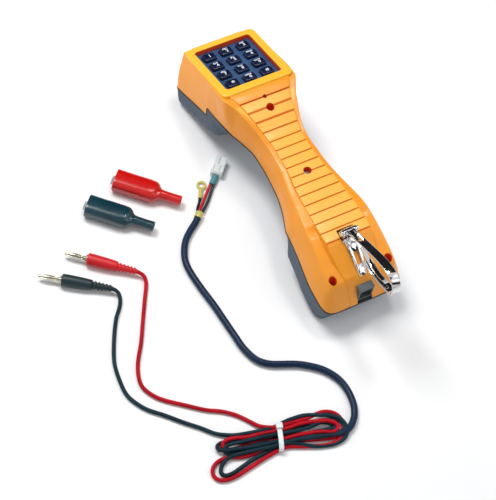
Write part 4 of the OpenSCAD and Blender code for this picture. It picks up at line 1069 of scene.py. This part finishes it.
# ---------------------------------------------------------------- cord fittings
tie_place = drawn_flat((-47.0, -170.8), -19)
rings = []
for t in full_turn(72):
    c, s = math.cos(t), math.sin(t)
    v = 9.9 * math.copysign(abs(c) ** 0.8, c)
    z = 4.0 + 3.9 * math.copysign(abs(s) ** 0.8, s)
    out = np.array([c / 9.9, s / 3.9])
    out /= np.linalg.norm(out)
    lean = 0.05 * v
    rings.append([tie_place((a + lean, v + b * out[0], max(0.05, z + b * out[1])))
                  for a, b in rounded_rectangle(3.6, 0.9, 0.3, 3)])
tie = tidy_normals(add_mesh("cable_tie_band", *loft(rings, loop=True)))
lock = tidy_normals(prism("lock", rounded_rectangle(4.6, 4.4, 0.6), 6.2, 9.6, moved(tie_place, 0.4, 7.6)))
bevel(lock, 0.35, 3)
tie = join([tie, lock])
shade_by_angle(tie, 45)
finish_piece(tie, "cord_set", M["nylon_white"], ["cable_tie"])

sleeve = tidy_normals(add_mesh("cord_sleeve_ring", *lathe(
    [(2.62, -2.6), (2.95, -2.6), (3.1, -2.4), (3.05, -0.4), (3.12, 0.6), (3.1, 2.4), (2.95, 2.6), (2.62, 2.6),
     (2.62, 2.5), (0.3, 2.4)], lying((-13.5, 18.7), 42, 3.1))))
shade_by_angle(sleeve, 45)
finish_piece(sleeve, "cord_set", M["sleeve_yellow"], ["cord_sleeve"])

red_tail_route = [(-11.4, 22.2, 3.2), (-6, 27, 2.2), (0, 33, 1.8), (5, 37.8, 1.8), (8, 40.4, 2.1)]
black_tail_route = [(-9.6, 20.4, 3), (-3.6, 25, 2.2), (3, 31.4, 1.8), (7, 35.8, 1.8), (9.8, 38.6, 2.1)]
stay_route = [(-12.2, 21.2, 4.0), (-12.3, 23.4, 3.3), (-10.2, 26.3, 2.1), (-7.7, 29, 1.7), (-5, 32.6, 1.7)]
vinyl_red = surface("tail_red", (0.46, 0.006, 0.012), (0.58, 0.012, 0.018), (0.28, 0.4), 900, 0.00003, 90.0)
vinyl_black = surface("tail_black", (0.006, 0.014, 0.026), (0.012, 0.026, 0.042), (0.28, 0.4), 900, 0.00003, 90.0)
red_tail, _ = add_cord("red_tail_wire", red_tail_route, TAIL_D, vinyl_red, ["red_tail"], 0.7)
black_tail, _ = add_cord("black_tail_wire", black_tail_route, TAIL_D, vinyl_black, ["black_tail"],
                         0.7)
stay, _ = add_cord("stay_strand_braid", stay_route, 2.0, M["strand_black"], ["stay_strand"], 0.6)

# ring terminal: crimped barrel with two dents, and a flat ring
lug_place = lying((-5, 32.6), 57, 0)
rings = []
for s, r, dent in ((0, 1.3, 0), (0.1, 1.6, 0), (0.4, 1.7, 0), (1.6, 1.7, 0), (2.2, 1.7, 0.5), (2.8, 1.7, 0.5),
                   (3.4, 1.7, 0), (4.6, 1.7, 0), (5.2, 1.7, 0.5), (5.8, 1.7, 0.5), (6.4, 1.7, 0), (7.0, 1.55, 0),
                   (7.05, 1.2, 0)):
    rings.append([lug_place((1.7 + r * math.cos(a) * (1 - dent * 0.4 * max(0, math.cos(a))), r * math.sin(a), s))
                  for a in full_turn(32)])
crimp = tidy_normals(add_mesh("stay_lug_terminal", *loft(rings)))
crimp.data.materials.append(M["sleeve_yellow"])
rings = []
for r, h in ((2.1, 0.7), (2.2, 0.6), (3.8, 0.6), (3.9, 0.7), (3.9, 1.5), (3.8, 1.6), (2.2, 1.6), (2.1, 1.5)):
    rings.append([lug_place((h, r * math.sin(a), 12.6 + r * math.cos(a))) for a in full_turn(48)])
eye = tidy_normals(add_mesh("eye", *loft(rings, loop=True)))
eye.data.materials.append(M["lug_tin"])
tongue = tidy_normals(prism("tongue", [(6.2, -1.6), (9.6, -1.9), (9.6, 1.9), (6.2, 1.6)], 0.62, 1.58,
                            drawn_flat((-5, 32.6), 57)))
tongue.data.materials.append(M["lug_tin"])
lug = join([crimp, eye, bevel(tongue, 0.12, 2)])
shade_by_angle(lug, 42)
finish_piece(lug, "cord_set", None, ["stay_lug"])

# heat-shrunk sleeve, moulded round the two tails
shrink_place = lying((9.2, 39.8), 43, 2.15)
rings = []
for s in np.linspace(0, 8.5, 24):
    edge = 1 - 0.12 * math.exp(-s / 0.25) - 0.12 * math.exp(-(8.5 - s) / 0.25)
    rings.append([shrink_place((1.92 * edge * math.sin(a) * (1 - 0.09 * math.cos(2 * a)),
                                2.7 * edge * math.cos(a), float(s))) for a in full_turn(48)])
shrink = tidy_normals(add_mesh("shrink_sleeve_skin", *loft(rings)))
shade_by_angle(shrink, 45)
finish_piece(shrink, "cord_set", M["shrink_teal"], ["shrink_sleeve"])


# line connector: a stepped nylon block with pin bores, top windows and side latches
connector_place = drawn_flat((15.6, 46), 45)


def block(name, x0, x1, y0, y1, z0, z1, soft=0.3):
    piece = tidy_normals(prism(name, [(x0, y0), (x1, y0), (x1, y1), (x0, y1)], z0, z1, connector_place))
    return bevel(piece, soft, 3) if soft else piece


shell = block("line_connector_block", 0, 15.5, -4.55, 4.55, 0.05, 6.9, 0)
bores = [cylinder("bore", 1.5, 5, 18, lambda p, y=y: connector_place((p[2], y + p[0], 3.6 + p[1])), 28)
         for y in (-2.2, 2.2)]
carve(shell, bores + [block("a", 8.2, 17, -0.8, 0.8, 6.0, 8, 0), block("b", 2.4, 6.4, -3.3, -1.5, 6.2, 8, 0),
                      block("c", 2.4, 6.4, 1.5, 3.3, 6.2, 8, 0), block("d", -1, 0.9, -5, 5, 5.9, 8, 0),
                      block("e", 7.4, 13, -5, -4.0, 1.6, 5.2, 0), block("f", 7.4, 13, 4.0, 5, 1.6, 5.2, 0)])
bevel(shell, 0.28, 3)
finish_piece(shell, "cord_set", M["nylon_white"], ["line_connector"])

# ---------------------------------------------------------------- CAD nodes that stay in view
KEPT = {
    "key_membrane": "membrane_grey", "keypad_board": "board_green", "main_board": "board_green",
    "status_lamp": "lamp_red", "case_screws": "steel", "clip_rivets": "chrome", "clip_pin": "chrome",
    "receiver_capsule": "capsule", "mic_capsule": "capsule", "jack_housing": "jack_slate",
    "jack_contacts": "contact_brass", "talk_switch": "switch_grey", "dial_switch": "switch_grey",
    "mute_button": "switch_grey"}
for color in ("red", "black"):
    KEPT[color + "_jaw_spring"] = "steel"
    for part in ("fixed_jaw", "moving_jaw", "jaw_pivot"):
        KEPT[color + "_" + part] = "jaw_steel"
for name, material in KEPT.items():
    node = bpy.data.objects[name]
    node.data.materials.clear()
    node.data.materials.append(M[material])
